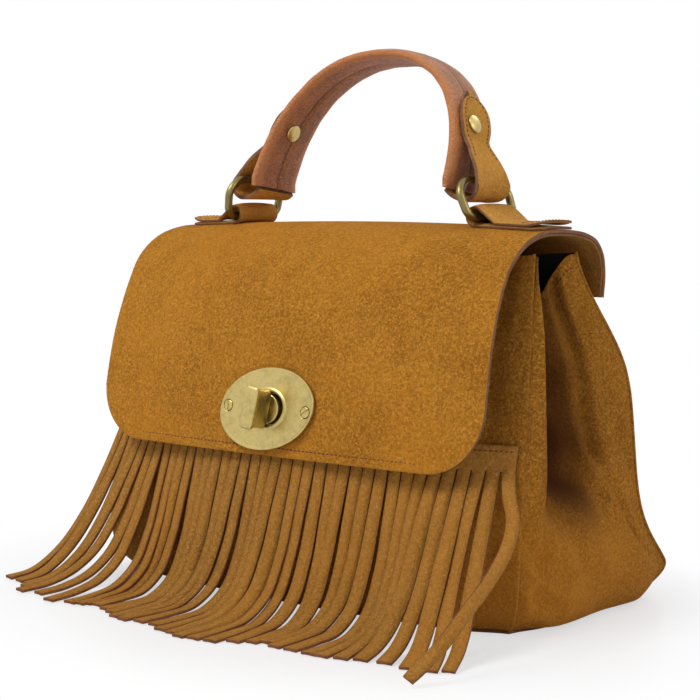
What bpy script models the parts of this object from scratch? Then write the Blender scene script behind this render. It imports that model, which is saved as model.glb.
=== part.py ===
"""A small fringed suede hand bag with a fold-over flap, a turn lock and a ringed top handle.

Metres, +Z up, the front faces -Y. The origin lies on the underside of the base, under the
handle's rings. Sheets are open surfaces made solid by their thickness. Each sheet that lies
over or under another one is worked out from the same surface, at its own depth.
"""
import math

import bmesh
import bpy
import numpy as np
from mathutils import Matrix, Vector

MM = 0.001

# Thickness of the materials and the gap that touching pieces keep
GAP = 0.3 * MM
SUEDE = 1.6 * MM
FLAP_SUEDE = 1.8 * MM
FACING_SUEDE = 1.2 * MM
TAB_SUEDE = 2.2 * MM
STRAP_SUEDE = 1.4 * MM
LINING_CLOTH = 0.8 * MM

# Body, measured at the seams between the front, the gussets and the back
BODY_HEIGHT = 194 * MM
BASE_HALF_WIDTH = 150 * MM
TOP_HALF_WIDTH = 131 * MM
FRONT_DEPTH_BASE = 63 * MM
FRONT_DEPTH_TOP = 22 * MM
BACK_DEPTH_BASE = 91 * MM
BACK_DEPTH_MIDDLE = 54 * MM
BACK_FLARE_HEIGHT = 38 * MM
BACK_DEPTH_TOP = 35 * MM
FRONT_BULGE = 25.5 * MM
FRONT_BULGE_ENDS = 13 * MM
BACK_BULGE = 14 * MM
BACK_BULGE_ENDS = 7 * MM
MIDDLE_SAG = 4 * MM

# Rounding of the lower edges: how far each wall tucks in, and from what height
FRONT_TUCK = 6 * MM
FRONT_TUCK_HEIGHT = 14 * MM
BACK_TUCK = 14 * MM
BACK_TUCK_HEIGHT = 16 * MM
SIDE_TUCK = 6 * MM
SIDE_TUCK_HEIGHT = 16 * MM

# Folds of the gussets
LOBE_STAND = 4.2 * MM
LOBE_WIDTH_TOP = 8 * MM
LOBE_WIDTH_LOW = 25 * MM
FOLD_DEPTH = 32 * MM
BELLY = 5 * MM
CREASE_DEPTH = 19 * MM
CREASE_FROM_BACK = 20 * MM
HEM_DIP = 18 * MM
LINING_INSET = 14 * MM
LINING_SLACK = 3.5 * MM

# Flap
FLAP_HALF_WIDTH_TOP = 132 * MM
FLAP_HALF_WIDTH_HEM = 138 * MM
FLAP_CORNER = 34 * MM
CREST_CLEARANCE = 12.8 * MM
CREST_SWELL = 3 * MM
FLAP_FRONT_SWELL = 7.5 * MM
FLAP_BACK_SWELL = 8 * MM
FLAP_LEFT_SHOULDER = 6 * MM
FACING_INSET = 0.5 * MM

# Fringe
FRINGE_TOP = 98 * MM
BAND_HEIGHT = 13 * MM
STRIP_COUNT = 38
STRIP_GAP = 0.8 * MM
STRIP_LENGTH = 148 * MM
STRIP_SUEDE = 1.5 * MM
FRINGE_MARGIN = 3 * MM
FLOOR_GAP = 0.3 * MM

# Rings and the straps that hold them
BAR_HALF_SPACING = 88.6 * MM
RING_WIRE = 4.6 * MM
RING_HEIGHT = 22 * MM
RING_HALF_WIDTH = 20.5 * MM
RING_BOTTOM_CORNER = 5 * MM
RING_TOP_CORNER = 10 * MM
STRAP_HALF_WIDTH = 16.5 * MM
STRAP_BORE = 4.4 * MM
STRAP_END_INSET = 5 * MM
LEFT_RING_LEAN = math.radians(9)

# Handle, in its own plane: x runs from ring to ring, z up, 0 at the rings' top bars
HANDLE_HALF_SPACING = 82.85 * MM
LEFT_RING_SEAT = 1.6 * MM
GRIP_HALF_WIDTH_END = 18.5 * MM
GRIP_HALF_WIDTH_TOP = 15.9 * MM
GRIP_THICKNESS = 7 * MM
GRIP_RING_CLEARANCE = 8.9 * MM
GRIP_DROP = 6 * MM
GRIP_RISE = 82.5 * MM
GRIP_SQUARENESS = 2.25
GRIP_GROOVE = 1.0 * MM
HANDLE_LEAN = math.radians(20.6)
HANDLE_CANT = math.radians(7.6)
TAB_HALF_WIDTH = 13 * MM
TAB_WAIST_HALF_WIDTH = 10.5 * MM
TAB_LOOP_HALF_WIDTH = 15 * MM
TAB_TOP = 46 * MM
TAB_LOOP_OUT = 7.2 * MM
TAB_LOOP_DOWN = 11 * MM
RIVET_HEIGHT = 28 * MM
RIVET_SIDE = -3 * MM
RIVET_CAP = 5.2 * MM
RIVET_SHANK = 1.5 * MM
RIVET_DOME = 1.7 * MM

# Lock, in its own frame: x across, y up the flap, z out of it, 0 on the flap's face
LOCK_HEIGHT = 109 * MM
PLATE_HALF = (34 * MM, 22.5 * MM)
PLATE_THICKNESS = 1.4 * MM
SLOT_HALF = (12.6 * MM, 9.6 * MM)
SLOT_LIP = 1.0 * MM
PLATE_STANDOFF = 0.5 * MM
LOCK_CLEARANCE = 1.0 * MM
SCREW_OFFSET = 28 * MM
SCREW_HEAD = 2.9 * MM
SCREW_SHANK = 1.4 * MM
SCREW_SLOT = 0.8 * MM
BACK_PLATE_HALF = (31.5 * MM, 17 * MM)
BACK_PLATE_THICKNESS = 1.0 * MM
BOSS_RADIUS = 8.4 * MM
LOCK_BASE_HALF = (20 * MM, 9.4 * MM)
LOCK_BASE_THICKNESS = 1.6 * MM
BASE_PIN_OFFSET = 14 * MM
BASE_PIN = 1.2 * MM
SPINDLE = 2.5 * MM
SPINDLE_FOOT = 3.6 * MM
KNOB_HALF = (4.6 * MM, 11.5 * MM)
KNOB_DEPTH = 9.5 * MM

SUEDE_COLOUR = (0.45, 0.18, 0.035)
FRINGE_COLOUR = (0.36, 0.17, 0.04)
LEATHER_COLOUR = (0.38, 0.11, 0.045)
LINING_COLOUR = (0.012, 0.016, 0.025)
BRASS_COLOUR = (0.42, 0.33, 0.15)


def clear_scene():
    """Remove every object that the file starts with."""
    for item in list(bpy.data.objects):
        bpy.data.objects.remove(item, do_unlink=True)


def new_collection(name):
    """Return a fresh collection linked to the scene."""
    group = bpy.data.collections.new(name)
    bpy.context.scene.collection.children.link(group)
    return group


def material(name, colour, roughness, metallic=0.0):
    """Return a Principled material."""
    made = bpy.data.materials.new(name)
    made.use_nodes = True
    shader = made.node_tree.nodes["Principled BSDF"]
    shader.inputs["Base Color"].default_value = (*colour, 1.0)
    shader.inputs["Roughness"].default_value = roughness
    shader.inputs["Metallic"].default_value = metallic
    return made


def smoothstep(low, high, value):
    """Ease from 0 at low to 1 at high."""
    t = np.clip((value - low) / (high - low), 0.0, 1.0)
    return t * t * (3.0 - 2.0 * t)


def spline(points, count):
    """Return count evenly spaced points of a smooth curve through the given points."""
    points = np.asarray(points, float)
    chord = np.linalg.norm(np.diff(points, axis=0), axis=1)
    knots = np.concatenate([[0.0], np.cumsum(chord)])
    slopes = np.gradient(points, knots, axis=0)
    fine = np.linspace(0.0, knots[-1], 24 * len(points))
    span = np.clip(np.searchsorted(knots, fine, side="right") - 1, 0, len(points) - 2)
    width = (knots[span + 1] - knots[span])[:, None]
    t = ((fine - knots[span])[:, None]) / width
    curve = ((2 * t**3 - 3 * t**2 + 1) * points[span] + (t**3 - 2 * t**2 + t) * width * slopes[span]
             + (3 * t**2 - 2 * t**3) * points[span + 1] + (t**3 - t**2) * width * slopes[span + 1])
    length = np.concatenate([[0.0], np.cumsum(np.linalg.norm(np.diff(curve, axis=0), axis=1))])
    wanted = np.linspace(0.0, length[-1], count)
    return np.stack([np.interp(wanted, length, curve[:, k]) for k in range(points.shape[1])], axis=1)


def path_normals(path):
    """Return the unit normals of a plane path, a quarter turn to the left of its direction."""
    along = np.gradient(path, axis=0)
    along = along / np.linalg.norm(along, axis=1, keepdims=True)
    return np.stack([-along[:, 1], along[:, 0]], axis=1)


def add_mesh(name, vertices, faces, group, surface, smooth=True):
    """Link a mesh object made of the given vertices and faces."""
    mesh = bpy.data.meshes.new(name)
    mesh.from_pydata([tuple(map(float, v)) for v in vertices], [], faces)
    mesh.validate()
    item = bpy.data.objects.new(name, mesh)
    group.objects.link(item)
    if surface is not None:
        mesh.materials.append(surface)
    if smooth:
        mesh.shade_smooth()
        mesh.set_sharp_from_angle(angle=math.radians(40))
    return item


def grid_faces(rows, columns, closed_rows=False, closed_columns=False, flip=False):
    """Return the quads of a grid of rows by columns."""
    faces = []
    for r in range(rows if closed_rows else rows - 1):
        for c in range(columns if closed_columns else columns - 1):
            right = (c + 1) % columns
            below = (r + 1) % rows
            quad = (r * columns + c, r * columns + right, below * columns + right, below * columns + c)
            faces.append(tuple(reversed(quad)) if flip else quad)
    return faces


def thicken(item, thickness, depth):
    """Make an open surface solid: its outer face lies depth under the surface."""
    solid = item.modifiers.new("thickness", "SOLIDIFY")
    solid.thickness = thickness
    solid.offset = 1.0 - 2.0 * (depth + thickness) / thickness
    solid.use_quality_normals = True
    return item


def sheet(name, grid, thickness, depth, group, surface, flip=False, closed_columns=False):
    """Return a solid sheet from a grid of points, shape (rows, columns, 3)."""
    rows, columns = grid.shape[:2]
    faces = grid_faces(rows, columns, closed_columns=closed_columns, flip=flip)
    item = add_mesh(name, grid.reshape(-1, 3), faces, group, surface)
    return thicken(item, thickness, depth)


def stack(name, sections, group, surface, points=20):
    """Loft capped superellipse sections (half x, half y, height, squareness) up the z axis."""
    turn = np.linspace(0.0, 2.0 * math.pi, points, endpoint=False)
    rings = []
    for half_x, half_y, height, squareness in sections:
        x = half_x * np.sign(np.cos(turn)) * np.abs(np.cos(turn)) ** (2.0 / squareness)
        y = half_y * np.sign(np.sin(turn)) * np.abs(np.sin(turn)) ** (2.0 / squareness)
        rings.append(np.stack([x, y, np.full(points, height)], axis=1))
    faces = grid_faces(len(rings), points, closed_columns=True)
    faces.append(tuple(reversed(range(points))))
    faces.append(tuple(range((len(rings) - 1) * points, len(rings) * points)))
    return add_mesh(name, np.concatenate(rings), faces, group, surface)


def oval_ring(name, stations, group, surface, points=22):
    """Carry a closed profile of (half x, half y, height) stations round an oval."""
    turn = np.linspace(0.0, 2.0 * math.pi, points, endpoint=False)
    rings = [np.stack([a * np.cos(turn), b * np.sin(turn), np.full(points, h)], axis=1) for a, b, h in stations]
    faces = grid_faces(len(rings), points, closed_rows=True, closed_columns=True, flip=True)
    return add_mesh(name, np.concatenate(rings), faces, group, surface)


def turned(name, profile, group, surface, steps=11):
    """Turn a profile of (radius, height) points, from its top on the axis to its foot, about z."""
    mesh = bpy.data.meshes.new(name)
    mesh.from_pydata([(r, 0.0, h) for r, h in profile], [(i, i + 1) for i in range(len(profile) - 1)], [])
    mesh.materials.append(surface)
    item = bpy.data.objects.new(name, mesh)
    group.objects.link(item)
    screw = item.modifiers.new("turned", "SCREW")
    screw.steps = steps
    screw.render_steps = steps
    screw.use_merge_vertices = True
    screw.merge_threshold = 0.00001
    screw.use_smooth_shade = True
    return item


def cylinder_cutter(name, group, radius, low, high, frame, x=0.0, y=0.0, segments=16, turn=7.0):
    """Return a cylinder along the frame's z axis, from low to high, turned by some degrees, for cutting."""
    mesh = bpy.data.meshes.new(name)
    shape = bmesh.new()
    place = Matrix.Translation((x, y, 0.5 * (low + high))) @ Matrix.Rotation(math.radians(turn), 4, "Z")
    bmesh.ops.create_cone(shape, cap_ends=True, segments=segments, radius1=radius, radius2=radius,
                          depth=high - low, matrix=place)
    shape.to_mesh(mesh)
    shape.free()
    item = bpy.data.objects.new(name, mesh)
    item.matrix_world = frame
    group.objects.link(item)
    item.hide_render = True
    item.display_type = "WIRE"
    return item


def cut(item, cutter, operation="DIFFERENCE"):
    """Cut one object by another, or join them."""
    step = item.modifiers.new(operation.lower(), "BOOLEAN")
    step.operation = operation
    step.solver = "EXACT"
    step.object = cutter


def seam_half_width(z):
    """Return the half width of the body at its seams, wider towards the base."""
    h = np.clip(z / BODY_HEIGHT, 0.0, 1.0)
    tuck = SIDE_TUCK * np.clip(1.0 - z / SIDE_TUCK_HEIGHT, 0.0, 1.0) ** 2
    return TOP_HALF_WIDTH + (BASE_HALF_WIDTH - TOP_HALF_WIDTH) * np.cos(0.5 * math.pi * h**1.5) - tuck


def front_seam_depth(z):
    """Return how far the front seams stand forward at height z."""
    h = np.clip(z / BODY_HEIGHT, 0.0, 1.0)
    tuck = FRONT_TUCK * np.clip(1.0 - z / FRONT_TUCK_HEIGHT, 0.0, 1.0) ** 2
    return FRONT_DEPTH_TOP + (FRONT_DEPTH_BASE - FRONT_DEPTH_TOP) * (1.0 - h**2.05) - tuck


def back_seam_depth(z):
    """Return how far the back seams stand back at height z."""
    tuck = BACK_TUCK * np.clip(1.0 - z / BACK_TUCK_HEIGHT, 0.0, 1.0) ** 2
    widen = (BACK_DEPTH_MIDDLE - BACK_DEPTH_TOP) * smoothstep(BODY_HEIGHT, 0.57 * BODY_HEIGHT, z)
    flare = (BACK_DEPTH_BASE - BACK_DEPTH_MIDDLE) * np.exp(-((z / BACK_FLARE_HEIGHT) ** 2))
    return BACK_DEPTH_TOP + widen + flare - tuck


def front_surface(u, z):
    """Return points of the front wall: u runs from -1 to 1 between the seams."""
    h = np.clip(z / BODY_HEIGHT, 0.0, 1.0)
    bulge = FRONT_BULGE_ENDS + (FRONT_BULGE - FRONT_BULGE_ENDS) * np.sin(math.pi * h**1.45)
    y = -(front_seam_depth(z) + bulge * (1.0 - u * u))
    return np.stack(np.broadcast_arrays(u * seam_half_width(z), y, z), axis=-1)


def back_surface(u, z):
    """Return points of the back wall: u runs from -1 to 1 between the seams."""
    h = np.clip(z / BODY_HEIGHT, 0.0, 1.0)
    bulge = BACK_BULGE_ENDS + (BACK_BULGE - BACK_BULGE_ENDS) * np.sin(math.pi * h)
    y = back_seam_depth(z) + bulge * (1.0 - u * u)
    return np.stack(np.broadcast_arrays(u * seam_half_width(z), y, z), axis=-1)


def wall_grid(surface, columns, rows):
    """Return the grid of a front or back wall, from its lower edge on the base to its top edge."""
    u = np.linspace(-1.0, 1.0, columns)[None, :]
    v = np.linspace(0.0, 1.0, rows)[:, None] ** 1.3
    low = SUEDE + GAP
    top = BODY_HEIGHT - MIDDLE_SAG * (1.0 - u * u)
    return surface(u, low + (top - low) * v)


def gusset_section(z):
    """Return the points (x, y) of the right gusset's folded section at height z."""
    h = z / BODY_HEIGHT
    seam = seam_half_width(z)
    front = -front_seam_depth(z)
    back = back_seam_depth(z)
    butt = SUEDE + GAP + 0.3 * MM
    lobe = LOBE_WIDTH_TOP + (LOBE_WIDTH_LOW - LOBE_WIDTH_TOP) * float(smoothstep(0.85, 0.42, h))
    fold = (FOLD_DEPTH + BELLY) * float(smoothstep(0.25, 0.70, h)) - BELLY
    crease = (CREASE_DEPTH + BELLY) * min(max((h - 0.15) / 0.78, 0.0), 1.0) - BELLY
    low = float(smoothstep(0.0, 0.12, h))
    stand = LOBE_STAND * (0.5 + 0.5 * low)
    return np.array([
        (seam - 0.3 * MM, front + butt),
        (seam + stand, front + lobe),
        (seam - fold, 0.5 * (front + back) - 2 * MM),
        (seam - crease, back - CREASE_FROM_BACK),
        (seam - 0.10 * crease - 0.6 * MM, back - butt - 5 * MM),
        (seam - 0.3 * MM, back - butt),
    ])


def gusset_grid(columns, rows, side):
    """Return the grid of a gusset: side is 1 for the right one and -1 for the left one."""
    s = np.linspace(0.0, 1.0, columns)
    dip = HEM_DIP * np.exp(-(((s - 0.56) / 0.2) ** 2))
    v = np.linspace(0.0, 1.0, rows) ** 1.3
    low = SUEDE + GAP
    grid = np.zeros((rows, columns, 3))
    for r in range(rows):
        heights = low + (BODY_HEIGHT - 1 * MM - dip - low) * v[r]
        for c in range(columns):
            point = spline(gusset_section(heights[c]), columns)[c]
            grid[r, c] = (side * point[0], point[1], heights[c])
    return grid


def flap_profile():
    """Return the side profile (y, z) of the flap, from its back edge over the crest to the hem."""
    crest = BODY_HEIGHT + CREST_CLEARANCE
    back = BACK_DEPTH_TOP
    front = FRONT_DEPTH_TOP
    points = [
        (back + 10.5 * MM, crest - 38 * MM), (back + 12 * MM, crest - 25 * MM),
        (back + 10 * MM, crest - 14 * MM), (back + 4 * MM, crest - 6.8 * MM),
        (back - 7 * MM, crest - 2.6 * MM), (back - 21 * MM, crest - 0.6 * MM), (0.0, crest),
        (-front + 8 * MM, crest - 0.8 * MM), (-front - 5 * MM, crest - 4.3 * MM),
        (-front - 16 * MM, crest - 10.3 * MM), (-front - 27 * MM, crest - 19.8 * MM),
        (-front - 36 * MM, crest - 33.8 * MM), (-front - 44.5 * MM, crest - 54.8 * MM),
        (-front - 51 * MM, crest - 79.8 * MM), (-front - 55 * MM, crest - 102.8 * MM),
        (-front - 56.5 * MM, crest - 123.8 * MM),
    ]
    return spline(points, 240)


def flap_grid(rows, inset, columns=(0.0, 0.24, 0.48, 0.7, 0.88, 1.0)):
    """Return the grid of the flap's outer face, its outline drawn in by inset.

    Each column follows the side profile, pushed out along its normal by a swell that is
    greatest in the middle. The lower corners are quarter rounds.
    """
    profile = flap_profile()
    length = np.concatenate([[0.0], np.cumsum(np.linalg.norm(np.diff(profile, axis=0), axis=1))])
    normal = -path_normals(profile)
    crest_at = length[np.argmax(profile[:, 1])]
    half = np.array(columns)
    u = np.concatenate([-half[:0:-1], half])[None, :]
    edge = np.abs(u) * FLAP_HALF_WIDTH_HEM - (FLAP_HALF_WIDTH_HEM - FLAP_CORNER)
    rise = FLAP_CORNER - np.sqrt(np.maximum(FLAP_CORNER**2 - np.maximum(edge, 0.0) ** 2, 0.0))
    end = length[-1] - inset - np.minimum(rise, FLAP_CORNER * 0.86)
    run = inset + (end - inset) * np.linspace(0.0, 1.0, rows)[:, None]
    y, z, ny, nz = (np.interp(run, length, values) for values in
                    (profile[:, 0], profile[:, 1], normal[:, 0], normal[:, 1]))
    front = smoothstep(crest_at, crest_at + 110 * MM, run)
    back = smoothstep(crest_at, 0.0, run)
    swell = CREST_SWELL + (FLAP_FRONT_SWELL - CREST_SWELL) * front + (FLAP_BACK_SWELL - CREST_SWELL) * back
    swell = swell * (1.0 - u * u)
    widen = smoothstep(crest_at + 20 * MM, crest_at + 130 * MM, run)
    half_width = FLAP_HALF_WIDTH_TOP + (FLAP_HALF_WIDTH_HEM - FLAP_HALF_WIDTH_TOP) * widen - inset
    shoulder = FLAP_LEFT_SHOULDER * np.exp(-(((run - crest_at - 42 * MM) / (26 * MM)) ** 2))
    half_width = half_width + shoulder * (u < 0.0)
    return np.stack([u * half_width, y + ny * swell, z + nz * swell], axis=-1)


def crest_height(x):
    """Return the height of the flap's crest at x."""
    return BODY_HEIGHT + CREST_CLEARANCE + CREST_SWELL * (1.0 - (x / FLAP_HALF_WIDTH_TOP) ** 2)


def lock_frame():
    """Return the lock's frame: its origin lies on the flap's outer face."""
    grid = flap_grid(200, 0.0, columns=(0.0, 1.0))[:, 1]
    front = grid[grid[:, 1] < 0.0]
    order = np.argsort(front[:, 2])
    around = LOCK_HEIGHT + 14 * MM * np.array([-1.0, 0.0, 1.0])
    low, y, high = np.interp(around, front[order, 2], front[order, 1])
    tilt = math.atan2(high - low, around[2] - around[0])
    out = Vector((0.0, -math.cos(tilt), math.sin(tilt)))
    across = Vector((1.0, 0.0, 0.0))
    up = out.cross(across)
    turn = Matrix((across, up, out)).transposed().to_4x4()
    return Matrix.Translation((0.0, float(y), LOCK_HEIGHT)) @ turn


def build_body(group, cutters, suede, lining, frame, layers):
    """Make the front, back, gussets, base and lining."""
    front = sheet("front_panel", wall_grid(front_surface, 11, 10), SUEDE, 0.0, group, suede)
    for x in (-BASE_PIN_OFFSET, BASE_PIN_OFFSET):
        hole = cylinder_cutter("front_pin_hole", cutters, BASE_PIN + GAP, layers["washer"] - 4 * MM,
                               layers["base_back"] + 2 * MM, frame, x=x, segments=12)
        cut(front, hole)
    sheet("back_panel", wall_grid(back_surface, 9, 10), SUEDE, 0.0, group, suede, flip=True)
    for side, name in ((1, "gusset_right"), (-1, "gusset_left")):
        sheet(name, gusset_grid(15, 10, side), SUEDE, 0.0, group, suede, flip=side < 0)
    build_base(group, suede)
    build_lining(group, lining)


def base_outline(count):
    """Return the closed outline (x, y) of the base, just inside the walls' lower edges."""
    edge = SUEDE + GAP
    inner = 0.6 * MM
    u = np.linspace(-1.0, 1.0, count)
    front = front_surface(u, np.full(count, edge))[:, :2] + (0.0, inner)
    back = back_surface(-u, np.full(count, edge))[:, :2] - (0.0, inner)
    front[:, 0] *= 1.0 - inner / BASE_HALF_WIDTH
    back[:, 0] *= 1.0 - inner / BASE_HALF_WIDTH
    return front, back


def build_base(group, suede):
    """Make the base as a flat sheet ruled between its front and back edges."""
    front, back = base_outline(9)
    rows = [front + (back[::-1] - front) * t for t in np.linspace(0.0, 1.0, 5)]
    grid = np.stack([np.column_stack([row, np.full(len(row), SUEDE)]) for row in rows])
    sheet("base_panel", grid, SUEDE, 0.0, group, suede)


def lining_loop(z, columns):
    """Return one closed loop of the lining at height z, counter-clockwise from above."""
    inset = SUEDE + LINING_SLACK
    half = seam_half_width(z) - LINING_INSET
    u = np.linspace(-1.0, 1.0, columns) * half / seam_half_width(z)
    front = front_surface(u, np.full(columns, z)) + (0.0, inset + 2 * MM, 0.0)
    back = back_surface(-u, np.full(columns, z)) - (0.0, inset, 0.0)
    valley = min(gusset_section(z)[2, 0] - SUEDE - 4.2 * MM, half + 6 * MM)
    middle = gusset_section(z)[2, 1]
    right = np.array([(valley, middle, z)])
    left = np.array([(-valley, middle, z)])
    return np.concatenate([front, right, back, left])


def build_lining(group, lining):
    """Make the lining as one open pouch with a flat bottom."""
    columns = 7
    low = 2 * SUEDE + 2 * GAP
    top = BODY_HEIGHT - HEM_DIP - 6 * MM
    heights = low + (top - low) * np.linspace(0.0, 1.0, 8)
    loops = np.stack([lining_loop(z, columns) for z in heights])
    count = loops.shape[1]
    faces = grid_faces(len(heights), count, closed_columns=True)
    faces.append(tuple(reversed(range(count))))
    pouch = add_mesh("lining", loops.reshape(-1, 3), faces, group, lining)
    thicken(pouch, LINING_CLOTH, 0.0)


def strip_path(index, start, tip, lift, count):
    """Return the middle line of one strip: it hangs, then sweeps forward to lie on the floor."""
    drop = np.array([0.0, -0.12, -1.0]) * (start[2] * 1.05)
    reach = np.array(tip) - np.array(start)
    sweep = np.array([reach[0], reach[1], 0.0])
    sweep = sweep / np.linalg.norm(sweep) * STRIP_LENGTH * 0.62
    t = np.linspace(0.0, 1.0, 60)[:, None]
    path = ((2 * t**3 - 3 * t**2 + 1) * start + (t**3 - 2 * t**2 + t) * drop
            + (3 * t**2 - 2 * t**3) * np.array(tip) + (t**3 - t**2) * sweep)
    floor = FLOOR_GAP + STRIP_SUEDE
    path[:, 2] = floor + lift + np.maximum(path[:, 2] - floor, 0.0)
    path[:, 2] -= lift * (1.0 - t[:, 0]) ** 2
    length = np.concatenate([[0.0], np.cumsum(np.linalg.norm(np.diff(path, axis=0), axis=1))])
    wanted = np.linspace(0.0, length[-1], count)
    return np.stack([np.interp(wanted, length, path[:, k]) for k in range(3)], axis=1)


def strip_tip(share):
    """Return where a strip ends on the floor: share runs from -1 at the left to 1 at the right."""
    x = 157 * MM * share + 4 * MM * math.sin(9.0 * share)
    y = -(158 * MM - 22 * MM * share**2 + 4 * MM * math.cos(7.0 * share))
    x -= 10 * MM * math.exp(-(((share + 1.0) / 0.25) ** 2))
    x += 13 * MM * math.exp(-(((share - 1.0) / 0.3) ** 2))
    y += 10 * MM * math.exp(-(((share + 1.0) / 0.2) ** 2))
    y += 14 * MM * math.exp(-(((share - 1.0) / 0.15) ** 2))
    return np.array([x, y, FLOOR_GAP + STRIP_SUEDE])


def build_fringe(group, suede):
    """Make the fringe: a band on the front, cut into strips below, as one solid piece."""
    low = FRINGE_TOP - BAND_HEIGHT
    stand = GAP + STRIP_SUEDE
    usable = 2.0 * (float(seam_half_width(low)) - FRINGE_MARGIN)
    pitch = usable / STRIP_COUNT
    width = pitch - STRIP_GAP
    centres = (np.arange(STRIP_COUNT) - 0.5 * (STRIP_COUNT - 1)) * pitch
    edges = np.stack([centres - 0.5 * width, centres + 0.5 * width], axis=1).ravel()
    vertices = []
    faces = []
    columns = len(edges)
    for height in (FRINGE_TOP, low):
        u = edges / seam_half_width(height)
        points = front_surface(u, np.full(columns, height))
        slope = np.gradient(points[:, 1], points[:, 0])
        out = np.stack([slope, -np.ones(columns), np.zeros(columns)], axis=1)
        out /= np.linalg.norm(out, axis=1, keepdims=True)
        vertices.extend(points + out * stand)
    faces.extend(grid_faces(2, columns, flip=True))
    count = 9
    for i, centre in enumerate(centres):
        left = vertices[columns + 2 * i]
        right = vertices[columns + 2 * i + 1]
        start = 0.5 * (left + right)
        share = centre / (0.5 * usable)
        tip = strip_tip(share)
        path = strip_path(i, start, tip, 0.0, count)
        first = (right - left) / np.linalg.norm(right - left)
        heading = path[-1] - path[-3]
        last = np.array([-heading[1], heading[0], 0.0]) / math.hypot(heading[0], heading[1])
        previous = (columns + 2 * i, columns + 2 * i + 1)
        for k in range(1, count):
            blend = smoothstep(0.0, 1.0, k / (count - 1))
            across = first * (1.0 - blend) + last * blend
            across = across / np.linalg.norm(across) * 0.5 * width
            base = len(vertices)
            vertices.append(path[k] - across)
            vertices.append(path[k] + across)
            faces.append((previous[0], base, base + 1, previous[1]))
            previous = (base, base + 1)
    item = add_mesh("fringe_panel", vertices, faces, group, suede, smooth=False)
    thicken(item, STRIP_SUEDE, 0.0)


def build_flap(group, cutters, suede, facing, frame, layers):
    """Make the flap and its facing, with the lock's openings."""
    top = sheet("flap", flap_grid(17, 0.0), FLAP_SUEDE, 0.0, group, suede, flip=True)
    under = sheet("flap_facing", flap_grid(17, FACING_INSET), FACING_SUEDE, FLAP_SUEDE + GAP,
                  group, facing, flip=True)
    low = layers["back_plate"] - 4 * MM
    slot = stack("slot_cutter", [(SLOT_HALF[0] + 1 * MM, SLOT_HALF[1] + 1 * MM, low, 2.0),
                                 (SLOT_HALF[0] + 1 * MM, SLOT_HALF[1] + 1 * MM, 6 * MM, 2.0)], cutters, None)
    slot.matrix_world = frame
    slot.hide_render = True
    slot.display_type = "WIRE"
    for sheet_item in (top, under):
        cut(sheet_item, slot)
        for x in (-SCREW_OFFSET, SCREW_OFFSET):
            hole = cylinder_cutter("flap_screw_hole", cutters, SCREW_SHANK + GAP, low, 6 * MM, frame,
                                   x=x, segments=12)
            cut(sheet_item, hole)


def lock_layers():
    """Return the heights of the lock's layers in its frame, from the flap's face inwards."""
    layers = {"plate_back": PLATE_STANDOFF}
    layers["back_plate"] = -(FLAP_SUEDE + GAP + FACING_SUEDE + 1.0 * MM)
    layers["back_plate_low"] = layers["back_plate"] - BACK_PLATE_THICKNESS
    layers["base_front"] = layers["back_plate_low"] - LOCK_CLEARANCE
    layers["base_back"] = layers["base_front"] - LOCK_BASE_THICKNESS
    layers["washer"] = layers["base_back"] - SUEDE - 1.7 * MM
    return layers


def build_lock(group, cutters, brass, frame, layers):
    """Make the plate, its screws and back plate, the post plate with its washer, and the knob."""
    back = layers["plate_back"]
    face = back + PLATE_THICKNESS
    a, b = PLATE_HALF
    sa, sb = SLOT_HALF
    edge = 0.8 * MM
    plate = oval_ring("lock_plate", [
        (sa, sb, back), (a - edge, b - edge, back), (a, b, back + 0.5 * edge),
        (a, b, face - 0.2 * edge), (a - edge, b - edge, face + 0.4 * edge), (a - 2.5 * edge, b - 2.5 * edge, face),
        (sa + 3.4 * edge, sb + 3.4 * edge, face), (sa + 1.9 * edge, sb + 1.9 * edge, face + SLOT_LIP),
        (sa + 0.5 * edge, sb + 0.5 * edge, face + SLOT_LIP), (sa, sb, face + SLOT_LIP - 0.5 * edge)], group, brass)
    plate.matrix_world = frame
    low = layers["back_plate_low"]
    high = layers["back_plate"]
    ba, bb = BACK_PLATE_HALF
    ha, hb = SLOT_HALF[0] + 1 * MM, SLOT_HALF[1] + 1 * MM
    inner = oval_ring("lock_back_plate", [(ha, hb, low), (ba, bb, low), (ba, bb, high), (ha, hb, high)],
                      group, brass)
    inner.matrix_world = frame
    pocket = 0.9 * MM
    for x, name in ((-SCREW_OFFSET, "lock_screw_left"), (SCREW_OFFSET, "lock_screw_right")):
        shaft = cylinder_cutter("screw_hole", cutters, SCREW_SHANK + GAP, low - 4 * MM, face + 2 * MM, frame, x=x)
        seat = cylinder_cutter("screw_seat", cutters, SCREW_HEAD + GAP, face - pocket, face + 2 * MM, frame, x=x)
        cut(plate, seat)
        cut(plate, shaft)
        cut(inner, shaft)
        top = face
        under = face - pocket + GAP
        screw = turned(name, [(0.0, top), (SCREW_HEAD, top), (SCREW_HEAD, under), (SCREW_SHANK, under),
                              (SCREW_SHANK, low), (0.0, low)], group, brass, steps=10)
        screw.matrix_world = frame @ Matrix.Translation((x, 0.0, 0.0))
        slit = cylinder_cutter("screw_slit", cutters, SCREW_HEAD * 2, top - 0.35 * MM, top + 1 * MM,
                               screw.matrix_world @ Matrix.Rotation(math.radians(35 if x > 0 else 95), 4, "Z"),
                               segments=4, turn=45.0)
        slit.data.transform(Matrix.Diagonal((1.0, 0.5 * SCREW_SLOT / (SCREW_HEAD * 2 * math.sqrt(0.5)), 1.0, 1.0)))
        cut(screw, slit)
    build_lock_base(group, cutters, brass, frame, layers)
    build_knob(group, brass, frame, layers, face)


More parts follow.
